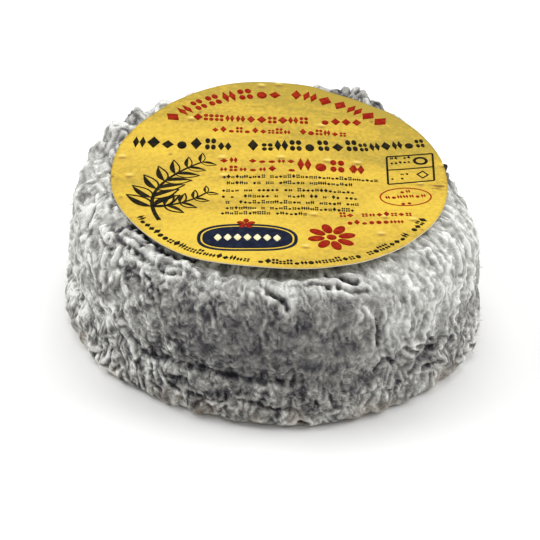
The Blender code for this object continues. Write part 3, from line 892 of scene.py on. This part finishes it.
# Seven rows of small type from one left edge: (where each stands there, how far right it runs)
SMALL_ROWS = (
    (-1.2, 19.0), (-3.3, 14.0), (-5.8, 14.4), (-7.9, 15.0), (-10.0, 17.0), (-12.1, 14.4), (-14.0, 5.2),
)
SMALL_LEFT, SMALL_SLOPE = -10.8, 0.035
BOXED_LINES = (
    ((22.2, 8.2), (25.6, 8.9)), ((22.2, 6.6), (25.6, 7.3)),
    ((22.3, 2.5), (25.2, 3.1)), ((22.3, 1.0), (25.2, 1.6)),
)
BLACK_ROWS = (
    (4.1, 2.7, 0.9, 0.75, TITLE_LINE),
    (3.0, 2.2, 1.0, 1.0, ((16.8, 10.5), (28.0, 12.9))),
    (1.9, 1.4, 0.88, 0.4, arc(31.8, 211, 338)),
    *[
        (1.35, 0.85, 0.86, 0.35, ((SMALL_LEFT, y), (x, y + SMALL_SLOPE * (x - SMALL_LEFT))))
        for y, x in SMALL_ROWS
    ],
    *[(1.0, 0.75, 0.9, 0.6, line) for line in BOXED_LINES],
)


def new_group(name, inputs):
    """A Geometry Nodes tree with those named inputs, and its group input's sockets."""
    tree = bpy.data.node_groups.new(name, "GeometryNodeTree")
    tree.interface.new_socket("Geometry", in_out="INPUT", socket_type="NodeSocketGeometry")
    for input_name, kind in inputs.items():
        tree.interface.new_socket(input_name, in_out="INPUT", socket_type="NodeSocket" + kind)
    tree.interface.new_socket("Geometry", in_out="OUTPUT", socket_type="NodeSocketGeometry")
    return tree, tree.nodes.new("NodeGroupInput").outputs


def finish_group(tree, instances, ink):
    """Ends a tree: its instances become real faces of that material."""
    real = add_node(tree, "GeometryNodeRealizeInstances", Geometry=instances)
    coloured = add_node(tree, "GeometryNodeSetMaterial", Geometry=real, Material=ink)
    add_node(tree, "NodeGroupOutput", i0=coloured)


def grow(guide, tree, **inputs):
    """The mesh that a tree makes from a guide object, which is then removed."""
    growth = guide.modifiers.new("Growth", "NODES")
    growth.node_group = tree
    for item in tree.interface.items_tree:
        key = item.name.replace(" ", "_")
        if item.in_out == "INPUT" and key in inputs:
            growth[item.identifier] = inputs[key]
    guide.update_tag()
    return plain_mesh(guide)


def flat_object(name, points, faces=(), edges=()):
    """An object of flat shapes or bare lines, given in millimetres from the label's centre."""
    mesh = bpy.data.meshes.new(name)
    mesh.from_pydata([(x * MM, y * MM, 0) for x, y in points], edges, faces)
    return linked(name, mesh)


def lines_object(name, lines):
    """An object of bare lines."""
    points, edges = [], []
    for line in lines:
        edges += [(len(points) + i, len(points) + i + 1) for i in range(len(line) - 1)]
        points += line
    return flat_object(name, points, edges=edges)


def joined(shapes):
    """The points and faces of several (points, faces) shapes together."""
    points, faces = [], []
    for shape_points, shape_faces in shapes:
        faces += [[len(points) + i for i in face] for face in shape_faces]
        points += shape_points
    return points, faces


def facing_along(tree, turn=0.0):
    """The rotation about Z that lays X along the line, turned on by that angle."""
    tangent = add_node(tree, "GeometryNodeInputTangent")
    parts = add_node(tree, "ShaderNodeSeparateXYZ", Vector=tangent).outputs
    heading = add_node(tree, "ShaderNodeMath", {"operation": "ARCTAN2"}, i0=parts["Y"], i1=parts["X"])
    heading = add_node(tree, "ShaderNodeMath", {"operation": "ADD"}, i0=heading, i1=turn)
    return add_node(tree, "ShaderNodeCombineXYZ", Z=heading)


def mark_shape(tree, corners, width, height, places):
    """Filled shapes of that many corners at those places, in shares of the pitch and of the mark's height."""
    together = tree.nodes.new("GeometryNodeJoinGeometry")
    edge = add_node(tree, "GeometryNodeCurvePrimitiveCircle", Resolution=corners, Radius=0.5)
    for x, y in places:
        moved = add_node(
            tree, "GeometryNodeTransform", Geometry=edge, Translation=(x, y, 0), Scale=(width, height, 1)
        )
        tree.links.new(moved.outputs[0], together.inputs[0])
    return add_node(tree, "GeometryNodeFillCurve", Curve=together).outputs[0]


def mark_rows():
    """A tree that sets ornaments along the guide's lines: lozenges, pairs of them, dots, dots in fours."""
    tree, given = new_group("mark_rows", {"Seed": "Int", "Ink": "Material"})
    height, pitch, kept, tall = [
        add_node(tree, "GeometryNodeInputNamedAttribute", {"data_type": "FLOAT"}, Name=name)
        for name in ("mark_height", "pitch", "kept", "tall")
    ]
    lines = add_node(tree, "GeometryNodeMeshToCurve", Mesh=given["Geometry"])
    spots = add_node(tree, "GeometryNodeResampleCurve", {"mode": "LENGTH"}, Curve=lines, Length=pitch)

    shapes = tree.nodes.new("GeometryNodeGeometryToInstance")
    for shape in (
        mark_shape(tree, 4, 0.92, 1.0, [(0, 0.5)]),
        mark_shape(tree, 4, 0.48, 1.0, [(-0.25, 0.5), (0.25, 0.5)]),
        mark_shape(tree, 12, 0.78, 0.64, [(0, 0.32)]),
        mark_shape(tree, 10, 0.42, 0.44, [(-0.25, 0.24), (0.25, 0.24), (-0.25, 0.76), (0.25, 0.76)]),
    ):
        tree.links.new(shape, shapes.inputs[0])

    # Random choices, each with a seed of its own; i6 is the share of yes, and the others are least and most
    seeds = [
        add_node(tree, "ShaderNodeMath", {"operation": "ADD"}, i0=given["Seed"], i1=stream)
        for stream in (0, 101, 202, 303)
    ]
    kept = add_node(tree, "FunctionNodeRandomValue", {"data_type": "BOOLEAN"}, i6=kept, Seed=seeds[0])
    which = add_node(tree, "FunctionNodeRandomValue", {"data_type": "INT"}, i4=0, i5=3, Seed=seeds[1])
    wide = add_node(tree, "FunctionNodeRandomValue", {"data_type": "FLOAT"}, i2=0.85, i3=1.05, Seed=seeds[2])
    tall = add_node(tree, "FunctionNodeRandomValue", {"data_type": "BOOLEAN"}, i6=tall, Seed=seeds[3])
    tall = add_node(tree, "ShaderNodeMath", {"operation": "MULTIPLY_ADD"}, i0=tall.outputs[3], i1=0.3, i2=0.7)
    wide = add_node(tree, "ShaderNodeMath", {"operation": "MULTIPLY"}, i0=wide.outputs[1], i1=pitch)
    tall = add_node(tree, "ShaderNodeMath", {"operation": "MULTIPLY"}, i0=tall, i1=height)
    size = add_node(tree, "ShaderNodeCombineXYZ", X=wide, Y=tall, Z=1.0)
    marks = add_node(
        tree, "GeometryNodeInstanceOnPoints", Points=spots, Selection=kept.outputs[3], Instance=shapes,
        Pick_Instance=True, Instance_Index=which.outputs[2], Rotation=facing_along(tree), Scale=size,
    )
    finish_group(tree, marks, given["Ink"])
    return tree


def printing_ink(name, deep, thin):
    """Oil-based ink on gold paper: satin, a little uneven where the gold grins through every millimetre."""
    finish, tree, shader = new_finish(name, 0.6, 0.06)
    place = add_node(tree, "ShaderNodeTexCoord").outputs["Object"]
    laid = add_node(tree, "ShaderNodeTexNoise", Vector=place, Scale=0.9 / MM, Detail=3.0)
    colour = colour_stops(add_node(tree, "ShaderNodeValToRGB", Fac=laid), [(0.4, deep), (0.75, thin)])
    tree.links.new(colour, shader.inputs["Base Color"])
    return finish


def row_marks(name, rows, ink, seed):
    """A mesh of the marks of those rows."""
    guide = lines_object(name, [row[4] for row in rows])
    counts = [len(row[4]) for row in rows]
    for column, (reading, unit) in enumerate((("mark_height", MM), ("pitch", MM), ("kept", 1), ("tall", 1))):
        add_reading(guide.data, reading, np.repeat([row[column] * unit for row in rows], counts))
    return grow(guide, mark_rows_tree, Seed=seed, Ink=ink)


def ink_film(name, meshes, shapes, ink, over=0.0):
    """A piece of ink from flat meshes and (points, faces) shapes, laid on the paper, or that far over it."""
    whole = bmesh.new()
    for mesh in meshes:
        whole.from_mesh(mesh)
        bpy.data.meshes.remove(mesh)
    points, faces = joined(shapes)
    corners = [whole.verts.new((x * MM, y * MM, 0)) for x, y in points]
    for face in faces:
        whole.faces.new([corners[i] for i in face])
    whole.normal_update()
    bmesh.ops.reverse_faces(whole, faces=[face for face in whole.faces if face.normal.z < 0])
    flat = bpy.data.meshes.new(name)
    whole.to_mesh(flat)
    whole.free()
    flat.materials.clear()
    flat.materials.append(ink)
    for face in flat.polygons:
        face.material_index = 0
    lay_as_label(flat, LABEL_THICKNESS - INK_SINK + over)
    piece = linked(name, flat)
    film = piece.modifiers.new("Film", "SOLIDIFY")
    film.thickness = INK_THICKNESS
    film.offset = 1
    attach(piece, "root")


mark_rows_tree = mark_rows()
red_ink = printing_ink("red_ink", "#8c1204", "#a2360e")
black_ink = printing_ink("black_ink", "#120f08", "#332b12")
red_type = row_marks("red_type", RED_ROWS, red_ink, 4)
black_type = row_marks("black_type", BLACK_ROWS, black_ink, 9)

# The devices
# Plain shapes printed between the rows, in the same inks, navy and cream: a boxed pair of signs, an oval
# ring, a rounded plaque with a flower over it, a rosette, and a sprig of bay with its leaves in pairs.


def oval(centre, half, power=2.0, tilt=0.0, steps=48):
    """Points round an oval, squarer with a higher power, in millimetres."""
    points = []
    for step in range(steps):
        turn = math.tau * step / steps
        c, s = math.cos(turn), math.sin(turn)
        x = half[0] * math.copysign(abs(c) ** (2 / power), c)
        y = half[1] * math.copysign(abs(s) ** (2 / power), s)
        points.append((
            centre[0] + x * math.cos(tilt) - y * math.sin(tilt),
            centre[1] + x * math.sin(tilt) + y * math.cos(tilt),
        ))
    return points


def filled_oval(centre, half, power=2.0, tilt=0.0, steps=48):
    """A filled oval of rings of faces, fine enough to lie on the bent paper."""
    rings = max(1, round(max(half) / 1.5))
    points = [centre]
    faces = [(0, 1 + i, 1 + (i + 1) % steps) for i in range(steps)]
    for ring in range(1, rings + 1):
        points += oval(centre, (half[0] * ring / rings, half[1] * ring / rings), power, tilt, steps)
    for ring in range(1, rings):
        inner, outer = 1 + (ring - 1) * steps, 1 + ring * steps
        for i in range(steps):
            j = (i + 1) % steps
            faces.append((inner + i, outer + i, outer + j, inner + j))
    return points, faces


def oval_line(centre, half, width, power=2.0, tilt=0.0, steps=48):
    """A line of that width along the inside of an oval."""
    inner_half = (half[0] - width, half[1] - width)
    points = oval(centre, half, power, tilt, steps) + oval(centre, inner_half, power, tilt, steps)
    faces = [(i, (i + 1) % steps, steps + (i + 1) % steps, steps + i) for i in range(steps)]
    return points, faces


def stroke(points, start_width, end_width):
    """A drawn line through the points, that widens or narrows along its way."""
    places = np.array(points, float)
    along = np.gradient(places, axis=0)
    along /= np.linalg.norm(along, axis=1, keepdims=True)
    across = np.stack([-along[:, 1], along[:, 0]], axis=-1)
    half = np.linspace(start_width, end_width, len(points))[:, None] / 2
    sides = [tuple(p) for p in places + across * half] + [tuple(p) for p in places - across * half]
    count = len(points)
    return sides, [(i, i + 1, count + i + 1, count + i) for i in range(count - 1)]


def bend(start, middle, end, steps=24):
    """Points on a smooth bend from start to end, drawn towards the middle point."""
    shares = [step / steps for step in range(steps + 1)]
    return [
        tuple((1 - t) ** 2 * a + 2 * t * (1 - t) * b + t**2 * c for a, b, c in zip(start, middle, end))
        for t in shares
    ]


def leaf_drawing(length, width, line, steps=14):
    """A pointed leaf from its stalk at the origin along +X: one half inked in, the other in line."""
    shares = [step / steps for step in range(steps + 1)]
    halves = [width / 2 * math.sin(math.pi * share**0.8) for share in shares]
    rib = [(length * share, 0) for share in shares]
    inked_edge = [(length * share, half) for share, half in zip(shares, halves)]
    open_edge = [(length * share, -half) for share, half in zip(shares, halves)]
    inked = [(i, i + 1, steps + 2 + i, steps + 1 + i) for i in range(steps)]
    return [(rib + inked_edge, inked), stroke(open_edge, line, line)]


def leaves_on_stem():
    """A tree that sets a leaf to both sides of the guide's line at each pitch, smaller towards its tip."""
    inputs = {"Leaf": "Object", "Pitch": "Float", "Spread": "Float", "Tip Size": "Float", "Ink": "Material"}
    tree, given = new_group("leaves_on_stem", inputs)
    line = add_node(tree, "GeometryNodeMeshToCurve", Mesh=given["Geometry"])
    spots = add_node(tree, "GeometryNodeResampleCurve", {"mode": "LENGTH"}, Curve=line, Length=given["Pitch"])
    leaf = add_node(tree, "GeometryNodeObjectInfo", Object=given["Leaf"]).outputs["Geometry"]
    share = add_node(tree, "GeometryNodeSplineParameter").outputs["Factor"]
    size = add_node(tree, "ShaderNodeMapRange", Value=share, To_Min=1.0, To_Max=given["Tip Size"])
    uneven = add_node(tree, "FunctionNodeRandomValue", {"data_type": "FLOAT"}, i2=0.85, i3=1.1, Seed=3)
    size = add_node(tree, "ShaderNodeMath", {"operation": "MULTIPLY"}, i0=size, i1=uneven.outputs[1])
    both = tree.nodes.new("GeometryNodeJoinGeometry")
    away = add_node(tree, "ShaderNodeMath", {"operation": "MULTIPLY"}, i0=given["Spread"], i1=-1.0)
    for turn in (given["Spread"], away):
        side = add_node(
            tree, "GeometryNodeInstanceOnPoints", Points=spots, Instance=leaf,
            Rotation=facing_along(tree, turn), Scale=size,
        )
        tree.links.new(side.outputs[0], both.inputs[0])
    finish_group(tree, both, given["Ink"])
    return tree


def sprig(stem, leaf_length, pitch):
    """A mesh of the leaves along a stem."""
    leaf = flat_object("leaf", *joined(leaf_drawing(leaf_length, leaf_length * 0.42, 0.4)))
    guide = lines_object("stem", [stem[BARE_STEPS:]])
    leaves = grow(
        guide, leaves_tree, Leaf=leaf, Pitch=pitch * MM, Spread=math.radians(50), Tip_Size=0.55, Ink=black_ink
    )
    bpy.data.objects.remove(leaf)
    return leaves


def flower(centre, reach, petals, petal_half):
    """Petals standing round a centre, in millimetres."""
    shapes = [filled_oval(centre, (reach * 0.32, reach * 0.32), steps=16)]
    for petal in range(petals):
        turn = math.tau * petal / petals + 0.3
        place = (centre[0] + reach * math.cos(turn), centre[1] + reach * math.sin(turn))
        shapes.append(filled_oval(place, petal_half, tilt=turn, steps=16))
    return shapes


leaves_tree = leaves_on_stem()
BARE_STEPS = 5  # of a stem's steps, from its cut end
MAIN_STEM = bend((-23.0, -16.5), (-28.5, -5.0), (-15.5, 4.0))
SIDE_STEM = bend((-24.4, -11.5), (-19.0, -11.5), (-14.2, -6.2))
RING_TILT = math.radians(11)
BOX_CORNERS = [(21.1, 9.2), (30.2, 10.9), (30.5, 1.7), (21.4, -0.7)]
PLAQUE_MIDDLE, PLAQUE_HALF, PLAQUE_EDGE = (-5.8, -22.3), (9.7, 5.0), 1.0

black_shapes = [
    stroke(MAIN_STEM, 0.9, 0.4),
    stroke(SIDE_STEM, 0.6, 0.4),
    *[
        stroke(np.linspace(start, end, 16), 0.4, 0.4)
        for start, end in zip(BOX_CORNERS, BOX_CORNERS[1:] + BOX_CORNERS[:1])
    ],
    stroke(np.linspace((21.2, 4.4), (30.3, 6.3), 16), 0.35, 0.35),
    oval_line((27.8, 8.2), (1.5, 1.4), 0.6, steps=24),
    oval_line((28.2, 3.5), (1.3, 1.4), 0.45, power=1.0, steps=24),
]
sprigs = [sprig(MAIN_STEM, 6.4, 3.2), sprig(SIDE_STEM, 4.2, 2.6)]
ink_film("black_print", [black_type, *sprigs], black_shapes, black_ink)

red_shapes = [oval_line((24.8, -4.9), (5.2, 3.3), 0.3, tilt=RING_TILT)]
red_shapes += flower((10.4, -20.6), 3.1, 8, (1.7, 1.0))
red_shapes += flower((-6.2, -17.2), 1.1, 5, (0.75, 0.55))
ink_film("red_print", [red_type], red_shapes, red_ink)

navy_ink = printing_ink("navy_ink", "#101629", "#20283a")
pale_ink = printing_ink("pale_ink", "#efe6bd", "#dccf96")
inner_half = (PLAQUE_HALF[0] - PLAQUE_EDGE, PLAQUE_HALF[1] - PLAQUE_EDGE)
ink_film("navy_print", [], [
    filled_oval(PLAQUE_MIDDLE, inner_half, power=2.6),
    oval_line(PLAQUE_MIDDLE, PLAQUE_HALF, 0.65, power=2.6),
], navy_ink)
ink_film("pale_print", [], [
    filled_oval((PLAQUE_MIDDLE[0] + 1.9 * step, PLAQUE_MIDDLE[1]), (0.75, 1.25), power=1.2, steps=12)
    for step in range(-3, 4)
], pale_ink, over=0.03 * MM)

# The down and the ash
# White hairs of mould, up to 1 mm long, grow out of the rind where it is pale, and coarse flakes of the wood
# ash that it was rolled in still cling to it where it is dark. Both lean all ways.

HAIRS_PER_METRE2, HAIR_LENGTH, HAIR_WIDTH = 6.0e5, 1.0 * MM, 0.09 * MM
FLAKES_PER_METRE2, FLAKE_SIZE = 2.0e5, 0.35 * MM
LOWEST_GROWTH, BARE_MARGIN = 1.5 * MM, 0.6 * MM


def strewn_over(name):
    """A tree that strews a small shape over the guide, from none at one paleness to all at another."""
    inputs = {
        "Shape": "Object", "Density": "Float", "None At": "Float", "All At": "Float", "Smallest": "Float",
        "Largest": "Float", "Tip Over": "Float", "Seed": "Int", "Finish": "Material",
    }
    tree, given = new_group(name, inputs)
    seed = given["Seed"]
    pale = add_node(tree, "GeometryNodeInputNamedAttribute", {"data_type": "FLOAT"}, Name="pale")
    density = add_node(
        tree, "ShaderNodeMapRange", Value=pale, From_Min=given["None At"], From_Max=given["All At"],
        To_Max=given["Density"],
    )
    spots = add_node(
        tree, "GeometryNodeDistributePointsOnFaces", Mesh=given["Geometry"], Density=density, Seed=seed
    )
    shape = add_node(tree, "GeometryNodeObjectInfo", Object=given["Shape"]).outputs["Geometry"]
    over = given["Tip Over"]
    tip = add_node(tree, "ShaderNodeVectorMath", {"operation": "SCALE"}, i0=(1, 1, 1), Scale=over)
    back = add_node(tree, "ShaderNodeVectorMath", {"operation": "SCALE"}, i0=tip, Scale=-1.0)
    tilt = add_node(
        tree, "FunctionNodeRandomValue", {"data_type": "FLOAT_VECTOR"}, i0=back, i1=tip, Seed=seed
    )
    normal = spots.outputs["Normal"]
    leaning = add_node(tree, "ShaderNodeVectorMath", {"operation": "ADD"}, i0=normal, i1=tilt)
    stand = add_node(tree, "FunctionNodeAlignRotationToVector", {"axis": "Z"}, Vector=leaning)
    size_seed = add_node(tree, "ShaderNodeMath", {"operation": "ADD"}, i0=seed, i1=404)
    size = add_node(
        tree, "FunctionNodeRandomValue", {"data_type": "FLOAT"}, i2=given["Smallest"], i3=given["Largest"],
        Seed=size_seed,
    ).outputs[1]
    strewn = add_node(
        tree, "GeometryNodeInstanceOnPoints", Points=spots, Instance=shape, Rotation=stand, Scale=size
    )
    finish_group(tree, strewn, given["Finish"])
    return tree


def bent_hair():
    """A hair one unit long, of three sides and two lengths, that bends over to its tip."""
    half = HAIR_WIDTH / HAIR_LENGTH / 2
    points = []
    for lean_out, rise, share in ((0.0, 0.0, 1.0), (0.10, 0.55, 0.8)):
        for corner in range(3):
            turn = math.tau * corner / 3
            points.append((lean_out + half * share * math.cos(turn), half * share * math.sin(turn), rise))
    points.append((0.38, 0.0, 1.0))
    faces = [(2, 1, 0)]
    for corner in range(3):
        after = (corner + 1) % 3
        faces.append((corner, after, 3 + after, 3 + corner))
        faces.append((3 + corner, 3 + after, 6))
    return points, faces


def ash_flake():
    """A crumbled flake about one unit across, flat and uneven."""
    crumb = bmesh.new()
    bmesh.ops.create_icosphere(crumb, subdivisions=1, radius=0.5)
    draw = random.Random(6)
    for corner in crumb.verts:
        corner.co *= draw.uniform(0.6, 1.3)
        corner.co.x *= 1.7
        corner.co.y *= 0.8
        corner.co.z *= 0.4
    points = [tuple(corner.co) for corner in crumb.verts]
    faces = [tuple(corner.index for corner in face.verts) for face in crumb.faces]
    crumb.free()
    return points, faces


def strew(name, shape, finish, seed, **inputs):
    """A piece of that shape strewn over the outside of the cheese."""
    seed_mesh = bpy.data.meshes.new(name + "_shape")
    seed_mesh.from_pydata(shape[0], [], shape[1])
    seed_shape = linked(name + "_shape", seed_mesh)
    ground = linked(name + "_ground", open_rind)
    mesh = grow(ground, strewn_tree, Shape=seed_shape, Finish=finish, Seed=seed, **inputs)
    bpy.data.objects.remove(seed_shape)
    piece = linked(name, mesh)
    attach(piece, "root")


def uncovered(mesh):
    """A copy of the rind's mesh without what the label covers and what stands on the floor."""
    copy = bmesh.new()
    copy.from_mesh(mesh)
    hidden = []
    for face in copy.faces:
        middle = face.calc_center_median()
        out = math.hypot(middle.x - AXIS[0] - LABEL_CENTRE[0], middle.y - AXIS[1] - LABEL_CENTRE[1])
        if middle.z < LOWEST_GROWTH or (middle.z > CORE_TOP and out < LABEL_RADIUS + BARE_MARGIN):
            hidden.append(face)
    bmesh.ops.delete(copy, geom=hidden, context="FACES")
    bare = bpy.data.meshes.new("open_rind")
    copy.to_mesh(bare)
    copy.free()
    return bare


def mould_down():
    """Fine white mould hairs: soft, matt, a little blue-grey where they lie in clumps, about 7 mm apart."""
    finish, tree, shader = new_finish("mould_down", 1.0, 0.1)
    place = add_node(tree, "ShaderNodeTexCoord").outputs["Object"]
    clump = add_node(tree, "ShaderNodeTexNoise", Vector=place, Scale=0.15 / MM, Detail=2.0)
    ramp = add_node(tree, "ShaderNodeValToRGB", Fac=clump)
    colour = colour_stops(ramp, [(0.35, "#8f9093"), (0.7, "#dcdcda")])
    tree.links.new(colour, shader.inputs["Base Color"])
    return finish


def wood_ash():
    """Crumbs of charred wood: near black with a grey dust on them, in specks 0.7 mm apart, dull."""
    finish, tree, shader = new_finish("wood_ash", 0.9)
    place = add_node(tree, "ShaderNodeTexCoord").outputs["Object"]
    dust = add_node(tree, "ShaderNodeTexNoise", Vector=place, Scale=1.4 / MM, Detail=3.0)
    ramp = add_node(tree, "ShaderNodeValToRGB", Fac=dust)
    colour = colour_stops(ramp, [(0.4, "#1b1a1d"), (0.7, "#55544f")])
    tree.links.new(colour, shader.inputs["Base Color"])
    return finish


strewn_tree = strewn_over("strewn_over")
open_rind = uncovered(cheese.data)
strew(
    "mould_hairs", bent_hair(), mould_down(), 21,
    Density=HAIRS_PER_METRE2, None_At=0.55, All_At=0.9, Smallest=0.4 * HAIR_LENGTH, Largest=HAIR_LENGTH,
    Tip_Over=0.9,
)
strew(
    "ash_flakes", ash_flake(), wood_ash(), 33,
    Density=FLAKES_PER_METRE2, None_At=0.3, All_At=0.0, Smallest=0.5 * FLAKE_SIZE, Largest=2.6 * FLAKE_SIZE,
    Tip_Over=0.5,
)

# The room
# A pale matt floor and a bright even surround, with soft boxes from both sides and from above that leave only
# a faint shade on the floor. The camera looks down from the front, with little perspective.

FLOOR_HALF = 3.0
CAMERA_ELEVATION = math.radians(35.1)
CAMERA_DISTANCE = 0.9
CAMERA_ROLL = math.radians(1.9)
PHOTO_WIDTH = 540
PIXELS_PER_METRE = 5000
STAND_POINT = Vector((-1.0 * MM, -0.3 * MM, 0))
AIM_POINT = STAND_POINT + Vector((0.53 * MM, 0, 8.34 * MM))


def plain_floor():
    """A matt, nearly white ground, with no sheen to mirror the cheese."""
    finish, _, shader = new_finish("plain_floor", 0.9)
    shader.inputs["Base Color"].default_value = linear("#f4f4f3")
    return finish


def soft_box(name, place, size, power):
    """A square light that faces the middle of the cheese."""
    light = bpy.data.lights.new(name, "AREA")
    light.size = size
    light.energy = power
    lamp = linked(name, light)
    lamp.location = place
    lamp.rotation_mode = "QUATERNION"
    lamp.rotation_quaternion = (Vector((0, 0, 0.015)) - Vector(place)).to_track_quat("-Z", "Y")


floor_mesh = bpy.data.meshes.new("floor")
corners = [(x * FLOOR_HALF, y * FLOOR_HALF, 0) for x, y in ((-1, -1), (1, -1), (1, 1), (-1, 1))]
floor_mesh.from_pydata(corners, [], [(0, 1, 2, 3)])
floor_mesh.materials.append(plain_floor())
floor = linked("floor", floor_mesh)

soft_box("left_box", (-0.55, 0.10, 0.50), 0.45, 3.0)
soft_box("right_box", (0.60, 0.05, 0.45), 0.45, 2.8)
soft_box("top_box", (0.0, 0.25, 0.80), 0.6, 3.0)

world = bpy.data.worlds.new("surround")
world.use_nodes = True
world.node_tree.nodes["Background"].inputs["Color"].default_value = (1, 1, 1, 1)
world.node_tree.nodes["Background"].inputs["Strength"].default_value = 0.45
bpy.context.scene.world = world
bpy.context.scene.view_settings.view_transform = "Standard"

view = bpy.data.cameras.new("camera")
view.sensor_width = 36
view.lens = view.sensor_width * PIXELS_PER_METRE * CAMERA_DISTANCE / PHOTO_WIDTH
view.clip_end = 10
camera = linked("camera", view)
back = Vector((0, -math.cos(CAMERA_ELEVATION), math.sin(CAMERA_ELEVATION)))
camera.location = STAND_POINT + CAMERA_DISTANCE * back
camera.rotation_mode = "QUATERNION"
aim = (AIM_POINT - camera.location).to_track_quat("-Z", "Y")
camera.rotation_quaternion = aim @ Quaternion((0, 0, 1), CAMERA_ROLL)
bpy.context.scene.camera = camera
